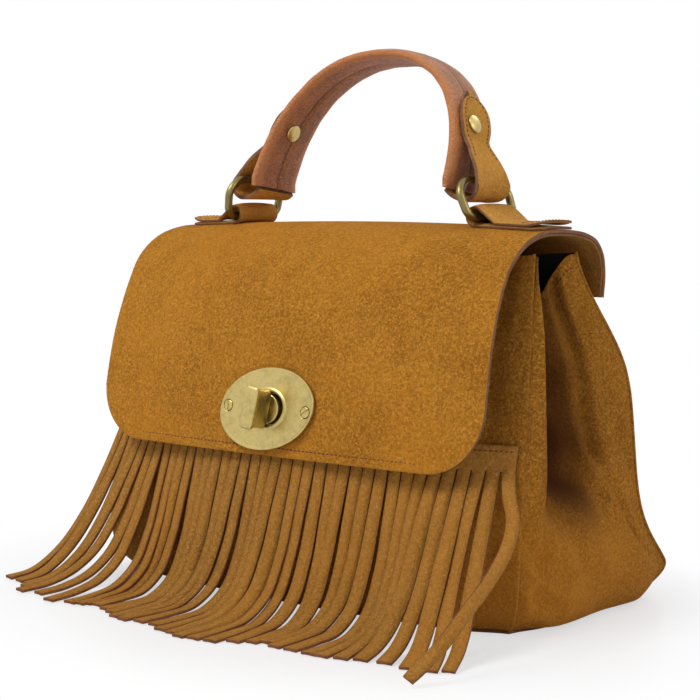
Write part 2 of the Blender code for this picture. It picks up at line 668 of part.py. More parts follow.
def build_lock_base(group, cutters, brass, frame, layers):
    """Make the post plate on the front panel and the washer that holds it from inside."""
    bore = SPINDLE + GAP
    recess = SPINDLE_FOOT + GAP
    front = layers["base_front"]
    back = layers["base_back"]
    top = layers["plate_back"] + PLATE_THICKNESS - 0.3 * MM
    a, b = LOCK_BASE_HALF
    floor = back + 1.3 * MM
    base = oval_ring("lock_base", [
        (recess, recess, floor), (recess, recess, back), (a, b, back), (a, b, front),
        (BOSS_RADIUS, BOSS_RADIUS, front), (BOSS_RADIUS, BOSS_RADIUS, top - 0.6 * MM),
        (BOSS_RADIUS - 0.6 * MM, BOSS_RADIUS - 0.6 * MM, top), (bore, bore, top), (bore, bore, floor)], group, brass)
    base.matrix_world = frame
    washer_low = layers["washer"] - 1 * MM
    washer = stack("lock_washer", [(a, b, washer_low, 2.0), (a, b, layers["washer"], 2.0)], group, brass)
    washer.matrix_world = frame
    for x in (-BASE_PIN_OFFSET, BASE_PIN_OFFSET):
        pin = cylinder_cutter("base_pin", cutters, BASE_PIN, washer_low, back + 0.5 * MM, frame, x=x, segments=12)
        cut(base, pin, "UNION")
        hole = cylinder_cutter("washer_hole", cutters, BASE_PIN + GAP, washer_low - 1 * MM,
                               layers["washer"] + 1 * MM, frame, x=x, segments=12)
        cut(washer, hole)


def build_knob(group, brass, frame, layers, face):
    """Make the knob: a foot, a spindle and a bar that stands up the flap when it is locked."""
    back = layers["base_back"]
    a, b = KNOB_HALF
    start = face + SLOT_LIP + 0.5 * MM
    foot = SPINDLE_FOOT
    knob = stack("lock_knob", [
        (foot, foot, back + 0.2 * MM, 2.0), (foot, foot, back + 1.0 * MM, 2.0),
        (SPINDLE, SPINDLE, back + 1.0 * MM, 2.0), (SPINDLE, SPINDLE, face, 2.0),
        (a - 1.2 * MM, b - 4 * MM, start, 3.0), (a - 0.4 * MM, b - 0.9 * MM, start + 0.9 * MM, 4.0),
        (a - 0.2 * MM, b - 0.3 * MM, start + 2.2 * MM, 4.5), (a - 0.6 * MM, b - 0.9 * MM, start + 0.5 * KNOB_DEPTH, 4.5),
        (a - 0.1 * MM, b - 0.1 * MM, start + KNOB_DEPTH - 1.6 * MM, 4.5),
        (a - 0.1 * MM, b, start + KNOB_DEPTH - 0.8 * MM, 4.5),
        (a - 0.9 * MM, b - 0.8 * MM, start + KNOB_DEPTH, 4.0)], group, brass)
    knob.matrix_world = frame


def loop_height():
    """Return the height of the middle of the strap loops that hold the rings."""
    return crest_height(BAR_HALF_SPACING) + GAP + STRAP_SUEDE + STRAP_BORE


def bar_height():
    """Return the height of the rings' lower bars, which lie on the bottom of their loops."""
    return loop_height() - STRAP_BORE + 0.5 * RING_WIRE + GAP


def ring_leans():
    """Return how far each ring leans inwards, so that the handle's two loops meet them."""
    left_x = -BAR_HALF_SPACING + RING_HEIGHT * math.sin(LEFT_RING_LEAN)
    right_x = left_x + 2.0 * HANDLE_HALF_SPACING
    return LEFT_RING_LEAN, math.asin((BAR_HALF_SPACING - right_x) / RING_HEIGHT)


def ring_outline():
    """Return the ring's wire as points (y, z): a straight bar below, rounder corners on top."""
    def corner(y, z, radius, start):
        turn = math.radians(start) + np.linspace(0.0, 0.5 * math.pi, 5)
        return [(y + radius * math.cos(t), z + radius * math.sin(t)) for t in turn]
    low, high, half = RING_BOTTOM_CORNER, RING_TOP_CORNER, RING_HALF_WIDTH
    points = corner(half - low, low, low, -90)
    points += corner(half - high, RING_HEIGHT - high, high, 0)
    points += corner(-half + high, RING_HEIGHT - high, high, 90)
    points += corner(-half + low, low, low, 180)
    return points


def build_rings(group, brass):
    """Make the two wire rings, each with its origin on the bar that it swings about."""
    for side, name, lean in ((-1, "ring_left", ring_leans()[0]), (1, "ring_right", -ring_leans()[1])):
        data = bpy.data.curves.new(name, "CURVE")
        data.dimensions = "3D"
        data.bevel_depth = 0.5 * RING_WIRE
        data.bevel_resolution = 1
        line = data.splines.new("POLY")
        points = ring_outline()
        line.points.add(len(points) - 1)
        for point, (y, z) in zip(line.points, points):
            point.co = (0.0, y, z, 1.0)
        line.use_cyclic_u = True
        data.materials.append(brass)
        ring = bpy.data.objects.new(name, data)
        ring.location = (side * BAR_HALF_SPACING, 0.0, bar_height())
        ring.rotation_euler = (0.0, lean, 0.0)
        group.objects.link(ring)


def build_base_tabs(group, suede):
    """Make the two folded straps: out along the flap, round the ring's bar and back."""
    centre = np.array([BAR_HALF_SPACING, loop_height()])
    radius = STRAP_BORE + 0.5 * STRAP_SUEDE
    end = FLAP_HALF_WIDTH_TOP - STRAP_END_INSET
    under = GAP + 0.5 * STRAP_SUEDE
    over = under + STRAP_SUEDE + GAP
    out = [(x, crest_height(x) + under) for x in np.linspace(end, BAR_HALF_SPACING + 5 * MM, 5)]
    turn = np.radians(np.linspace(-90.0, -315.0, 12))
    round_bar = [tuple(centre + radius * np.array([math.cos(t), math.sin(t)])) for t in turn]
    settle = BAR_HALF_SPACING + 13 * MM
    home = [(x, crest_height(x) + over + 0.15 * MM) for x in np.linspace(settle, end, 5)]
    path = np.array(out + round_bar + [(centre[0] + 7.6 * MM, centre[1] + 0.6 * MM)] + home)
    for side, name in ((1, "base_tab_right"), (-1, "base_tab_left")):
        grid = np.stack([np.column_stack([side * path[:, 0], np.full(len(path), y), path[:, 1]])
                         for y in (-STRAP_HALF_WIDTH, STRAP_HALF_WIDTH)], axis=1)
        sheet(name, grid, STRAP_SUEDE, -0.5 * STRAP_SUEDE, group, suede, flip=side > 0)


def grip_point(angle, offset=0.0):
    """Return the point (x, z) of the handle's arch at an angle from its right end, and its normal."""
    base_half = HANDLE_HALF_SPACING - GRIP_RING_CLEARANCE - 0.5 * GRIP_THICKNESS
    power = 2.0 / GRIP_SQUARENESS
    angle = np.asarray(angle, float)

    def arch(t):
        x = base_half * np.sign(np.cos(t)) * np.abs(np.cos(t)) ** power
        z = -GRIP_DROP + (GRIP_RISE - GRIP_DROP) * np.abs(np.sin(t)) ** power
        return np.stack([x, z], axis=-1)

    point = arch(angle)
    step = 0.002
    along = arch(np.minimum(angle + step, math.pi)) - arch(np.maximum(angle - step, 0.0))
    along = along / np.linalg.norm(along, axis=-1, keepdims=True)
    normal = np.stack([along[..., 1], -along[..., 0]], axis=-1)
    return point + normal * offset, normal


def lean_back(z):
    """Return how far back the leaning handle stands at height z over the rings' top bars."""
    return math.tan(HANDLE_LEAN) * np.maximum(z + 1 * MM, 0.0)


def grip_angle_at(height):
    """Return the arch's angle where the right leg reaches a height."""
    angles = np.linspace(0.0, 0.5 * math.pi, 400)
    return float(np.interp(height, grip_point(angles)[0][:, 1], angles))


def handle_sheet(name, path, halves, cant, thickness, group, surface, flip):
    """Return a strap of the handle from its middle line, its half widths and its cant's share."""
    drop = math.sin(HANDLE_CANT) * halves * cant
    grid = np.stack([np.column_stack([path[:, 0], lean_back(path[:, 1]) + side * halves, path[:, 1] - side * drop])
                     for side in (-1.0, 1.0)], axis=1)
    return sheet(name, grid, thickness, -0.5 * thickness, group, surface, flip=flip)


def tab_path():
    """Return the right tab's middle line: from under the grip's end, round the ring and up outside."""
    x0 = HANDLE_HALF_SPACING
    half = 0.5 * TAB_SUEDE
    inner = HANDLE_HALF_SPACING - GRIP_RING_CLEARANCE - GRIP_THICKNESS + 0.5 * MM
    down = -TAB_LOOP_DOWN
    out = x0 + TAB_LOOP_OUT
    loop = [
        (inner + half, -GRIP_DROP - GAP - 0.7 * MM), (inner + 4.2 * MM, 0.85 * down),
        (x0 - 5 * MM, down), (x0 + 1.5 * MM, 0.97 * down), (out - 1.6 * MM, 0.72 * down),
        (out, -4.5 * MM), (out - 2.4 * MM, 2.5 * MM), (out - 6.2 * MM, 8 * MM), (x0 - 5.0 * MM, 15 * MM)]
    angles = np.linspace(grip_angle_at(21 * MM), grip_angle_at(TAB_TOP), 6)
    seated = grip_point(angles, 0.5 * GRIP_THICKNESS + GAP + half)[0]
    return spline(np.array(loop + [tuple(p) for p in seated]), 27)


def build_handle(group, cutters, leather, suede, brass):
    """Make the grip, its two tabs and their rivets, all in the handle's own tilted frame."""
    left, right = ring_leans()
    rise = RING_HEIGHT * (math.cos(left) - math.cos(right))
    pivot = bpy.data.objects.new("handle_pivot", None)
    group.objects.link(pivot)
    pivot.location = (-BAR_HALF_SPACING + RING_HEIGHT * math.sin(left), 0.0,
                      bar_height() + RING_HEIGHT * math.cos(left))
    pivot.rotation_euler = (0.0, math.asin(rise / (2.0 * HANDLE_HALF_SPACING)), 0.0)
    shift = Matrix.Translation((HANDLE_HALF_SPACING + LEFT_RING_SEAT, 0.0, 0.0))
    pieces = [build_grip(group, leather)]
    path = tab_path()
    height = path[:, 1]
    halves = TAB_HALF_WIDTH + (TAB_LOOP_HALF_WIDTH - TAB_HALF_WIDTH) * smoothstep(8 * MM, -6 * MM, height)
    halves = halves - (TAB_HALF_WIDTH - TAB_WAIST_HALF_WIDTH) * np.exp(-(((height - 19 * MM) / (5.5 * MM)) ** 2))
    top = np.clip((height - (TAB_TOP - TAB_HALF_WIDTH)) / TAB_HALF_WIDTH, 0.0, 0.95)
    halves = halves * np.sqrt(1.0 - top**2)
    cant = smoothstep(-2 * MM, 14 * MM, height) + smoothstep(5.0, 0.0, np.arange(len(height)))
    axis_angle = grip_angle_at(RIVET_HEIGHT)
    for side, word in ((1, "right"), (-1, "left")):
        mirrored = np.column_stack([side * path[:, 0], path[:, 1]])
        tab = handle_sheet("handle_tab_" + word, mirrored, halves, cant, TAB_SUEDE, group, suede, side < 0)
        point, normal = grip_point(axis_angle)
        facing = Vector((side * normal[0], 0.0, normal[1]))
        across = Vector((0.0, 1.0, -math.sin(HANDLE_CANT))).normalized()
        along = Vector((-side * normal[1], math.tan(HANDLE_LEAN) * normal[0], normal[0]))
        out = across.cross(along).normalized()
        if out.dot(facing) < 0.0:
            out.negate()
        turn = Matrix((across, out.cross(across), out)).transposed().to_4x4()
        place = Matrix.Translation((side * point[0], float(lean_back(point[1])), point[1]))
        place = place @ turn @ Matrix.Translation((RIVET_SIDE, 0.0, 0.0))
        rivets = build_rivet(group, brass, word)
        hole = cylinder_cutter("rivet_hole", cutters, RIVET_SHANK + GAP, -12 * MM, 12 * MM, place, segments=12)
        cut(tab, hole)
        cut(pieces[0], hole)
        hole.data.transform(place)
        hole.matrix_world = Matrix.Identity(4)
        pieces += [tab, hole]
        for rivet in rivets:
            rivet.parent = pivot
            rivet.matrix_basis = shift @ place
    for piece in pieces:
        piece.data.transform(shift)
        piece.parent = pivot
    return pivot


def build_grip(group, leather):
    """Make the grip: a flat rounded section with a groove along its outer face, on an arch."""
    half_t = 0.5 * GRIP_THICKNESS
    right = [(0.0, 1.0 - GRIP_GROOVE / half_t), (0.09, 0.98 - 0.3 * GRIP_GROOVE / half_t), (0.16, 1.0), (0.7, 1.0),
             (0.94, 0.7), (1.0, 0.0), (0.94, -0.7), (0.7, -1.0)]
    section = right + [(0.0, -1.0)] + [(-a, b) for a, b in right[:0:-1]]
    section = np.array(section) * (1.0, half_t)
    angles = math.pi * np.linspace(0.0, 1.0, 25)
    points, normals = grip_point(angles)
    rings = []
    for point, normal in zip(points, normals):
        taper = min(max((point[1] + 2 * MM) / (50 * MM), 0.0), 1.0)
        half = GRIP_HALF_WIDTH_END + (GRIP_HALF_WIDTH_TOP - GRIP_HALF_WIDTH_END) * taper
        across = section[:, 0] * half + lean_back(point[1])
        x = point[0] + normal[0] * section[:, 1]
        z = point[1] + normal[1] * section[:, 1] - math.sin(HANDLE_CANT) * section[:, 0] * half
        rings.append(np.column_stack([x, across, z]))
    count = len(section)
    faces = grid_faces(len(rings), count, closed_columns=True)
    faces.append(tuple(reversed(range(count))))
    faces.append(tuple(range((len(rings) - 1) * count, len(rings) * count)))
    return add_mesh("handle_grip", np.concatenate(rings), faces, group, leather)


def build_rivet(group, brass, word):
    """Make a two-part rivet: a cap with its shank outside, and a cap inside the handle."""
    outer = 0.5 * GRIP_THICKNESS + TAB_SUEDE + 3.2 * GAP
    inner = -0.5 * GRIP_THICKNESS - GAP
    r = RIVET_CAP
    cap = turned("rivet_" + word, [
        (0.0, outer + RIVET_DOME), (0.6 * r, outer + 0.85 * RIVET_DOME), (0.92 * r, outer + 0.5 * RIVET_DOME),
        (r, outer + 0.2 * RIVET_DOME), (r, outer), (RIVET_SHANK, outer), (RIVET_SHANK, inner + GAP),
        (0.0, inner + GAP)], group, brass)
    back = turned("rivet_back_" + word, [
        (0.0, inner), (r, inner), (r, inner - 0.2 * RIVET_DOME), (0.92 * r, inner - 0.5 * RIVET_DOME),
        (0.6 * r, inner - 0.85 * RIVET_DOME), (0.0, inner - RIVET_DOME)], group, brass)
    return [cap, back]


def main():
    """Build the whole bag."""
    clear_scene()
    bag = new_collection("fringed_suede_bag")
    cutters = new_collection("cutters")
    suede = material("suede", SUEDE_COLOUR, 0.95)
    fringe = material("fringe_suede", FRINGE_COLOUR, 0.95)
    facing = material("facing_suede", FRINGE_COLOUR, 0.95)
    leather = material("smooth_leather", LEATHER_COLOUR, 0.55)
    lining = material("lining_cloth", LINING_COLOUR, 0.8)
    brass = material("antique_brass", BRASS_COLOUR, 0.4, 1.0)
    frame = lock_frame()
    layers = lock_layers()
    build_body(bag, cutters, suede, lining, frame, layers)
    build_fringe(bag, fringe)
    build_flap(bag, cutters, suede, facing, frame, layers)
    build_lock(bag, cutters, brass, frame, layers)
    build_rings(bag, brass)
    build_base_tabs(bag, suede)
    build_handle(bag, cutters, leather, suede, brass)


if __name__ == "__main__":
    main()
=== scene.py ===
import math

import bpy
import numpy as np
from bpy.props import FloatProperty, FloatVectorProperty, IntProperty
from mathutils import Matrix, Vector


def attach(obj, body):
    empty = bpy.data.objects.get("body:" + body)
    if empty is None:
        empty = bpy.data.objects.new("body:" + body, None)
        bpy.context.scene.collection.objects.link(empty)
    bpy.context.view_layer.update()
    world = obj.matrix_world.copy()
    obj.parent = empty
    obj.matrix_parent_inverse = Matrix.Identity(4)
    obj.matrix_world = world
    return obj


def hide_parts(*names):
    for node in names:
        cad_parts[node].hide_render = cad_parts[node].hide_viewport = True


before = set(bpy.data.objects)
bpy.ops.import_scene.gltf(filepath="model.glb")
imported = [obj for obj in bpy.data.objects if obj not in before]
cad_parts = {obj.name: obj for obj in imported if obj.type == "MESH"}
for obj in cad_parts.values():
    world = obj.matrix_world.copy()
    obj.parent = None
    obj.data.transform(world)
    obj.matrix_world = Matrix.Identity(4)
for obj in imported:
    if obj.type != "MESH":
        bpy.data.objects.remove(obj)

bl_info = {
    "name": "Fringed suede bag",
    "version": (1, 0, 0),
    "blender": (4, 5, 0),
    "location": "View3D > Sidebar > Fringed bag",
    "description": "Makes the suede, leather and brass of a small fringed hand bag",
    "category": "Object",
}

MM = 0.001
BODY_TOP = 0.194
SUEDE = 1.6 * MM
FLAP_SUEDE = 1.8 * MM
FACING_SUEDE = 1.2 * MM
TAB_SUEDE = 2.2 * MM
STRAP_SUEDE = 1.4 * MM
STRIP_SUEDE = 1.5 * MM
LINING_CLOTH = 0.8 * MM
GAP = 0.3 * MM
SEAM_RADIUS = 0.95 * MM

# Height of the flap's crest at its sides, how far its facing is drawn in, and its slack waves
CREST = BODY_TOP + 12.8 * MM
FACING_INSET = 0.5 * MM
FLAP_SLACK = 0.55 * MM

# Rows of the fringe's band and height of its strips' middle lines on the floor
BAND_ROWS = 6
STRIP_FLOOR = STRIP_SUEDE + GAP

# The lock: its plate's face and the post plate's front over the flap's face, its screws from the middle
SCREW_AT = 28 * MM
PLATE_FACE = 1.9 * MM
POST_FACE = -5.3 * MM

# Rings and handle: the rings' bars and the handle's loops from the middle, the grip's distance from
# its loops, and how far the handle is shifted to sit in the left ring
RING_SEAT = 1.6 * MM
BAR_AT = 88.6 * MM
HANDLE_AT = 82.85 * MM
GRIP_CLEARANCE = 8.9 * MM
STRAP_BORE = 4.4 * MM
LEFT_RING_LEAN = math.radians(9.0)
HANDLE_LEAN = math.radians(20.6)
HANDLE_CANT = math.radians(7.6)
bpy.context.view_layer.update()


def length(name, description, default):
    """Return a length property in metres."""
    return FloatProperty(name=name, description=description, default=default, min=0.0,
                         unit="LENGTH", subtype="DISTANCE", precision=4)


def colour(name, description, default):
    """Return a linear colour property."""
    return FloatVectorProperty(name=name, description=description, default=default, size=3,
                               subtype="COLOR", min=0.0, max=1.0)


class BagSizes(bpy.types.PropertyGroup):
    """Sizes of the bag's pieces."""
    base_half_width: length("Base half width", "Half width of the body at its base", 0.150)
    top_half_width: length("Top half width", "Half width of the body at its top", 0.131)
    flap_half_width: length("Flap half width", "Half width of the flap over the crest", 0.132)
    hem_half_width: length("Hem half width", "Half width of the flap at its hem", 0.138)
    flap_corner: length("Flap corner", "Radius of the flap's lower corners", 0.034)
    fringe_top: length("Fringe top", "Height of the fringe band's upper edge", 0.098)
    band_height: length("Fringe band", "Height of the uncut band of the fringe", 0.013)
    strip_count: IntProperty(name="Strips", description="Number of strips in the fringe", default=38)
    strip_gap: length("Strip gap", "Gap between two strips at the band", 0.0008)
    plate_half_width: length("Plate half width", "Half width of the lock's oval plate", 0.034)
    plate_half_height: length("Plate half height", "Half height of the lock's oval plate", 0.0225)
    lock_height: length("Lock height", "Height of the lock's middle", 0.109)
    ring_wire: length("Ring wire", "Thickness of the rings' wire", 0.0046)
    ring_height: length("Ring height", "Distance between a ring's two bars", 0.022)
    ring_half_width: length("Ring half width", "Half width of a ring", 0.0205)
    strap_half_width: length("Strap half width", "Half width of the straps on the flap", 0.0165)
    grip_half_width_end: length("Grip end", "Half width of the grip at its ends", 0.0185)
    grip_half_width_top: length("Grip top", "Half width of the grip at its top", 0.0159)
    grip_thickness: length("Grip thickness", "Thickness of the grip", 0.007)
    rivet_radius: length("Rivet radius", "Radius of a rivet's cap", 0.0052)
    stitch_pitch: length("Stitch pitch", "Distance between two stitches", 0.0028)
    stitch_inset: length("Stitch inset", "Distance of the stitches from the edge", 0.0048)


class BagColours(bpy.types.PropertyGroup):
    """Colours of the bag's materials."""
    suede: colour("Suede", "Face of the body and flap", (0.72, 0.310, 0.034))
    suede_dark: colour("Suede shade", "Nap brushed the dark way", (0.35, 0.122, 0.011))
    fringe: colour("Fringe suede", "Face of the fringe strips", (0.62, 0.290, 0.056))
    raw_edge: colour("Raw edge", "Cut edges of the suede", (0.25, 0.120, 0.062))
    leather: colour("Leather", "Smooth leather of the grip", (0.60, 0.205, 0.055))
    lining: colour("Lining", "Cloth inside the bag", (0.012, 0.014, 0.022))
    thread: colour("Thread", "Stitching", (0.17, 0.045, 0.014))
    brass: colour("Brass", "Rubbed antique brass", (0.60, 0.47, 0.18))
    brass_dark: colour("Brass patina", "Patina in the brass", (0.20, 0.15, 0.05))


def sizes():
    """Return the bag's sizes."""
    return bpy.context.scene.bag_sizes


def colours():
    """Return the bag's colours."""
    return bpy.context.scene.bag_colours


# Plain numpy helpers

def ease(low, high, value):
    """Smoothstep: 0 below low, 1 above high, and 3t^2 - 2t^3 between them."""
    t = np.clip((value - low) / (high - low), 0.0, 1.0)
    return t * t * (3.0 - 2.0 * t)


def smooth_curve(points, count):
    """Cubic Hermite curve through the points, resampled to even steps of arc length."""
    points = np.asarray(points, float)
    chord = np.linalg.norm(np.diff(points, axis=0), axis=1)
    knots = np.concatenate([[0.0], np.cumsum(chord)])
    slopes = np.gradient(points, knots, axis=0)
    fine = np.linspace(0.0, knots[-1], 24 * len(points))
    span = np.clip(np.searchsorted(knots, fine, side="right") - 1, 0, len(points) - 2)
    width = (knots[span + 1] - knots[span])[:, None]
    t = (fine - knots[span])[:, None] / width
    curve = ((2 * t**3 - 3 * t**2 + 1) * points[span] + (t**3 - 2 * t**2 + t) * width * slopes[span]
             + (3 * t**2 - 2 * t**3) * points[span + 1] + (t**3 - t**2) * width * slopes[span + 1])
    return even_steps(curve, count)


def even_steps(curve, count):
    """Resample a polyline so that its points are the same arc length apart."""
    run = np.concatenate([[0.0], np.cumsum(np.linalg.norm(np.diff(curve, axis=0), axis=1))])
    wanted = np.linspace(0.0, run[-1], count)
    return np.stack([np.interp(wanted, run, curve[:, k]) for k in range(curve.shape[1])], axis=1)


def unit(vectors):
    """Divide each vector by its length."""
    return vectors / np.maximum(np.linalg.norm(vectors, axis=-1, keepdims=True), 1e-12)


def grid_normals(grid, flip=False):
    """Unit cross product of a grid's column and row directions."""
    normal = unit(np.cross(np.gradient(grid, axis=1), np.gradient(grid, axis=0)))
    return -normal if flip else normal


def ripples(p, q, seed, wavelength, height, count=9):
    """Sum of plane cosine waves with seeded directions, phases and near-equal wavelengths."""
    rng = np.random.default_rng(seed)
    turn = rng.uniform(0.0, 2.0 * math.pi, count)
    phase = rng.uniform(0.0, 2.0 * math.pi, count)
    rate = 2.0 * math.pi / (wavelength * rng.uniform(0.7, 1.5, count))
    angle = (p[..., None] * np.cos(turn) + q[..., None] * np.sin(turn)) * rate + phase
    return height * np.cos(angle).sum(axis=-1) / math.sqrt(count)


def crease(p, q, start, end, width, depth):
    """Groove along a segment: -depth times a bell of the distance, with lower shoulders beside it."""
    start, end = np.array(start, float), np.array(end, float)
    along = end - start
    t = ((p - start[0]) * along[0] + (q - start[1]) * along[1]) / (along @ along)
    near = np.clip(t, 0.0, 1.0)
    away = np.hypot(p - start[0] - near * along[0], q - start[1] - near * along[1]) / width
    return depth * (0.45 * np.exp(-((away - 1.9) ** 2)) - np.exp(-(away**2)))


def patch_area(grid):
    """Sum of the areas of a grid's cells, each half the cross product of its diagonals."""
    cross = np.cross(grid[1:, 1:] - grid[:-1, :-1], grid[1:, :-1] - grid[:-1, 1:])
    return float(0.5 * np.linalg.norm(cross, axis=-1).sum())


def cut_size(grid):
    """Longest row and column of a grid, in metres: the cloth's width and length before it was shaped."""
    wide = np.linalg.norm(np.diff(grid, axis=1), axis=-1).sum(axis=1).max()
    tall = np.linalg.norm(np.diff(grid, axis=0), axis=-1).sum(axis=0).max()
    return float(wide), float(tall)


# Meshes

def add_mesh(name, points, polygons, uv=None, **marks):
    """Make an object from points and a list of polygon arrays, with a UV map and float attributes."""
    mesh = bpy.data.meshes.new(name)
    polygons = [np.asarray(p, np.int32) for p in polygons if len(p)]
    corners = np.concatenate([p.ravel() for p in polygons])
    totals = np.concatenate([np.full(len(p), p.shape[1], np.int32) for p in polygons])
    starts = np.concatenate([[0], np.cumsum(totals)[:-1]]).astype(np.int32)
    mesh.vertices.add(len(points))
    mesh.vertices.foreach_set("co", np.asarray(points, np.float32).ravel())
    mesh.loops.add(len(corners))
    mesh.loops.foreach_set("vertex_index", corners)
    mesh.polygons.add(len(totals))
    mesh.polygons.foreach_set("loop_start", starts)
    mesh.polygons.foreach_set("loop_total", totals)
    mesh.update(calc_edges=True)
    mesh.validate()
    if uv is not None:
        layer = mesh.uv_layers.new(name="Cloth")
        layer.data.foreach_set("uv", np.asarray(uv, np.float32)[corners].ravel())
    for key, value in marks.items():
        mark = mesh.attributes.new(key, "FLOAT", "POINT")
        mark.data.foreach_set("value", np.asarray(value, np.float32).ravel())
    mesh.shade_smooth()
    item = bpy.data.objects.new(name, mesh)
    bpy.context.scene.collection.objects.link(item)
    return item


def grid_quads(rows, columns, closed_rows=False, closed_columns=False, flip=False, keep=None):
    """Corner numbers of each cell of a grid; keep says which cells stay."""
    r = np.arange(rows if closed_rows else rows - 1)[:, None]
    c = np.arange(columns if closed_columns else columns - 1)[None, :]
    right, below = (c + 1) % columns, (r + 1) % rows
    quads = np.stack(np.broadcast_arrays(r * columns + c, r * columns + right,
                                         below * columns + right, below * columns + c), axis=-1)
    quads = quads[keep] if keep is not None else quads.reshape(-1, 4)
    return quads[:, ::-1] if flip else quads


def surface_map(grid):
    """UV in metres along the rows and columns, and the distance to the grid's nearest border."""
    wide = np.concatenate([np.zeros((grid.shape[0], 1)),
                           np.cumsum(np.linalg.norm(np.diff(grid, axis=1), axis=-1), axis=1)], axis=1)
    tall = np.concatenate([np.zeros((1, grid.shape[1])),
                           np.cumsum(np.linalg.norm(np.diff(grid, axis=0), axis=-1), axis=0)], axis=0)
    border = np.minimum(np.minimum(wide, wide[:, -1:] - wide), np.minimum(tall, tall[-1:] - tall))
    uv = np.stack([wide - 0.5 * wide[:, -1:], tall], axis=-1)
    return uv.reshape(-1, 2), border.ravel()


def add_sheet(name, grid, thickness, depth, materials, flip=False, keep=None, rounded=True, **marks):
    """Sheet with its outer face at a depth under a grid of points.

    Its cut edges take the second material, and its inner face the third where there is one.
    """
    uv, border = surface_map(grid)
    quads = grid_quads(grid.shape[0], grid.shape[1], flip=flip, keep=keep)
    item = add_mesh(name, grid.reshape(-1, 3), [quads], uv, edge=border, **marks)
    for finish in materials:
        item.data.materials.append(finish)
    solid = item.modifiers.new("thickness", "SOLIDIFY")
    solid.thickness = thickness
    solid.offset = 1.0 - 2.0 * (depth + thickness) / thickness
    solid.use_quality_normals = True
    solid.material_offset_rim = min(len(materials) - 1, 1)
    solid.material_offset = 2 if len(materials) > 2 else 0
    if rounded:
        soft = item.modifiers.new("soft edge", "BEVEL")
        soft.width = 0.22 * thickness
        soft.segments = 2
        soft.limit_method = "ANGLE"
        soft.angle_limit = math.radians(55)
    return item


def add_loft(name, rings, material, closed_rows=False, flip=False):
    """Skin a stack of closed rings; open ends are closed by a fan round their middles."""
    rings = np.asarray(rings, float)
    rows, columns = rings.shape[:2]
    points = rings.reshape(-1, 3)
    polygons = [grid_quads(rows, columns, closed_rows=closed_rows, closed_columns=True, flip=flip)]
    if not closed_rows:
        points = np.concatenate([points, rings[:1].mean(axis=1), rings[-1:].mean(axis=1)])
        around = np.arange(columns)
        after = (around + 1) % columns
        first = np.stack([np.full(columns, rows * columns), after, around], axis=1)
        top = (rows - 1) * columns
        last = np.stack([np.full(columns, rows * columns + 1), top + around, top + after], axis=1)
        fans = np.concatenate([first, last])
        polygons.append(fans[:, ::-1] if flip else fans)
    item = add_mesh(name, points, polygons, edge=np.full(len(points), 0.05))
    item.data.materials.append(material)
    item.data.set_sharp_from_angle(angle=math.radians(38))
    return item


def add_wire(name, path, radius, material, closed=False, sides=14, up=(0.0, 0.0, 1.0)):
    """Carry a circle along a path: each ring lies across the path's direction."""
    path = np.asarray(path, float)
    if closed:
        along = unit(np.roll(path, -1, axis=0) - np.roll(path, 1, axis=0))
    else:
        along = unit(np.gradient(path, axis=0))
    side = unit(np.cross(along, np.broadcast_to(np.array(up, float), along.shape)))
    top = np.cross(side, along)
    turn = np.linspace(0.0, 2.0 * math.pi, sides, endpoint=False)
    radius = np.broadcast_to(np.asarray(radius, float), (len(path),))[:, None, None]
    rings = path[:, None] + radius * (np.cos(turn)[None, :, None] * side[:, None]
                                      + np.sin(turn)[None, :, None] * top[:, None])
    return add_loft(name, rings, material, closed_rows=closed)


def add_stitches(name, runs, material, sink=0.1 * MM):
    """Row of stitches: one short capsule repeated at an even pitch along each (path, normal) run."""
    pitch = sizes().stitch_pitch
    long_half, radius = 0.36 * pitch, 0.48 * MM
    t = np.array([-1.0, -0.8, 0.0, 0.8, 1.0])
    thick = np.array([0.15, 0.8, 1.0, 0.8, 0.15])
    turn = np.linspace(0.0, 2.0 * math.pi, 6, endpoint=False)
    shape = np.stack(np.broadcast_arrays(t[:, None] * long_half, np.cos(turn) * radius * thick[:, None],
                                         np.sin(turn) * radius * thick[:, None]), axis=-1).reshape(-1, 3)
    places = []
    for path, normal in runs:
        run = np.concatenate([[0.0], np.cumsum(np.linalg.norm(np.diff(path, axis=0), axis=1))])
        at = np.linspace(0.5 * pitch, run[-1] - 0.5 * pitch, max(int(run[-1] / pitch), 2))
        middle = np.stack([np.interp(at, run, path[:, k]) for k in range(3)], axis=1)
        out = unit(np.stack([np.interp(at, run, normal[:, k]) for k in range(3)], axis=1))
        along = unit(np.stack([np.interp(at + 0.3 * MM, run, path[:, k])
                               - np.interp(at - 0.3 * MM, run, path[:, k]) for k in range(3)], axis=1))
        side = unit(np.cross(out, along))
        middle = middle - out * sink
        places.append(middle[:, None] + shape[None, :, :1] * along[:, None]
                      + shape[None, :, 1:2] * side[:, None] + shape[None, :, 2:] * out[:, None])
    stitches = np.concatenate(places)
    count = len(stitches)
    quads = grid_quads(5, 6, closed_columns=True, flip=True)
    base = (np.arange(count) * 30)[:, None, None]
    hexes = np.array([[0, 1, 2, 3, 4, 5], [29, 28, 27, 26, 25, 24]])
    item = add_mesh(name, stitches.reshape(-1, 3),
                    [(quads[None] + base).reshape(-1, 4), (hexes[None] + base).reshape(-1, 6)])
    item.data.materials.append(material)
    return item


def dress(item, body, slot, *nodes):
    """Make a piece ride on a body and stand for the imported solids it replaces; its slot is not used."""
    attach(item, body)
    if nodes:
        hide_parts(*nodes)
    return item


def declare_sheet(grid):
    """Work out the flat cut a sheet comes from, its longest row and column and its area; the result is not
    kept.
    """
    wide, tall = cut_size(grid)
    wide, tall = round(wide + 0.0005, 3), round(tall + 0.0005, 3)
    min(patch_area(grid), wide * tall)


# Materials

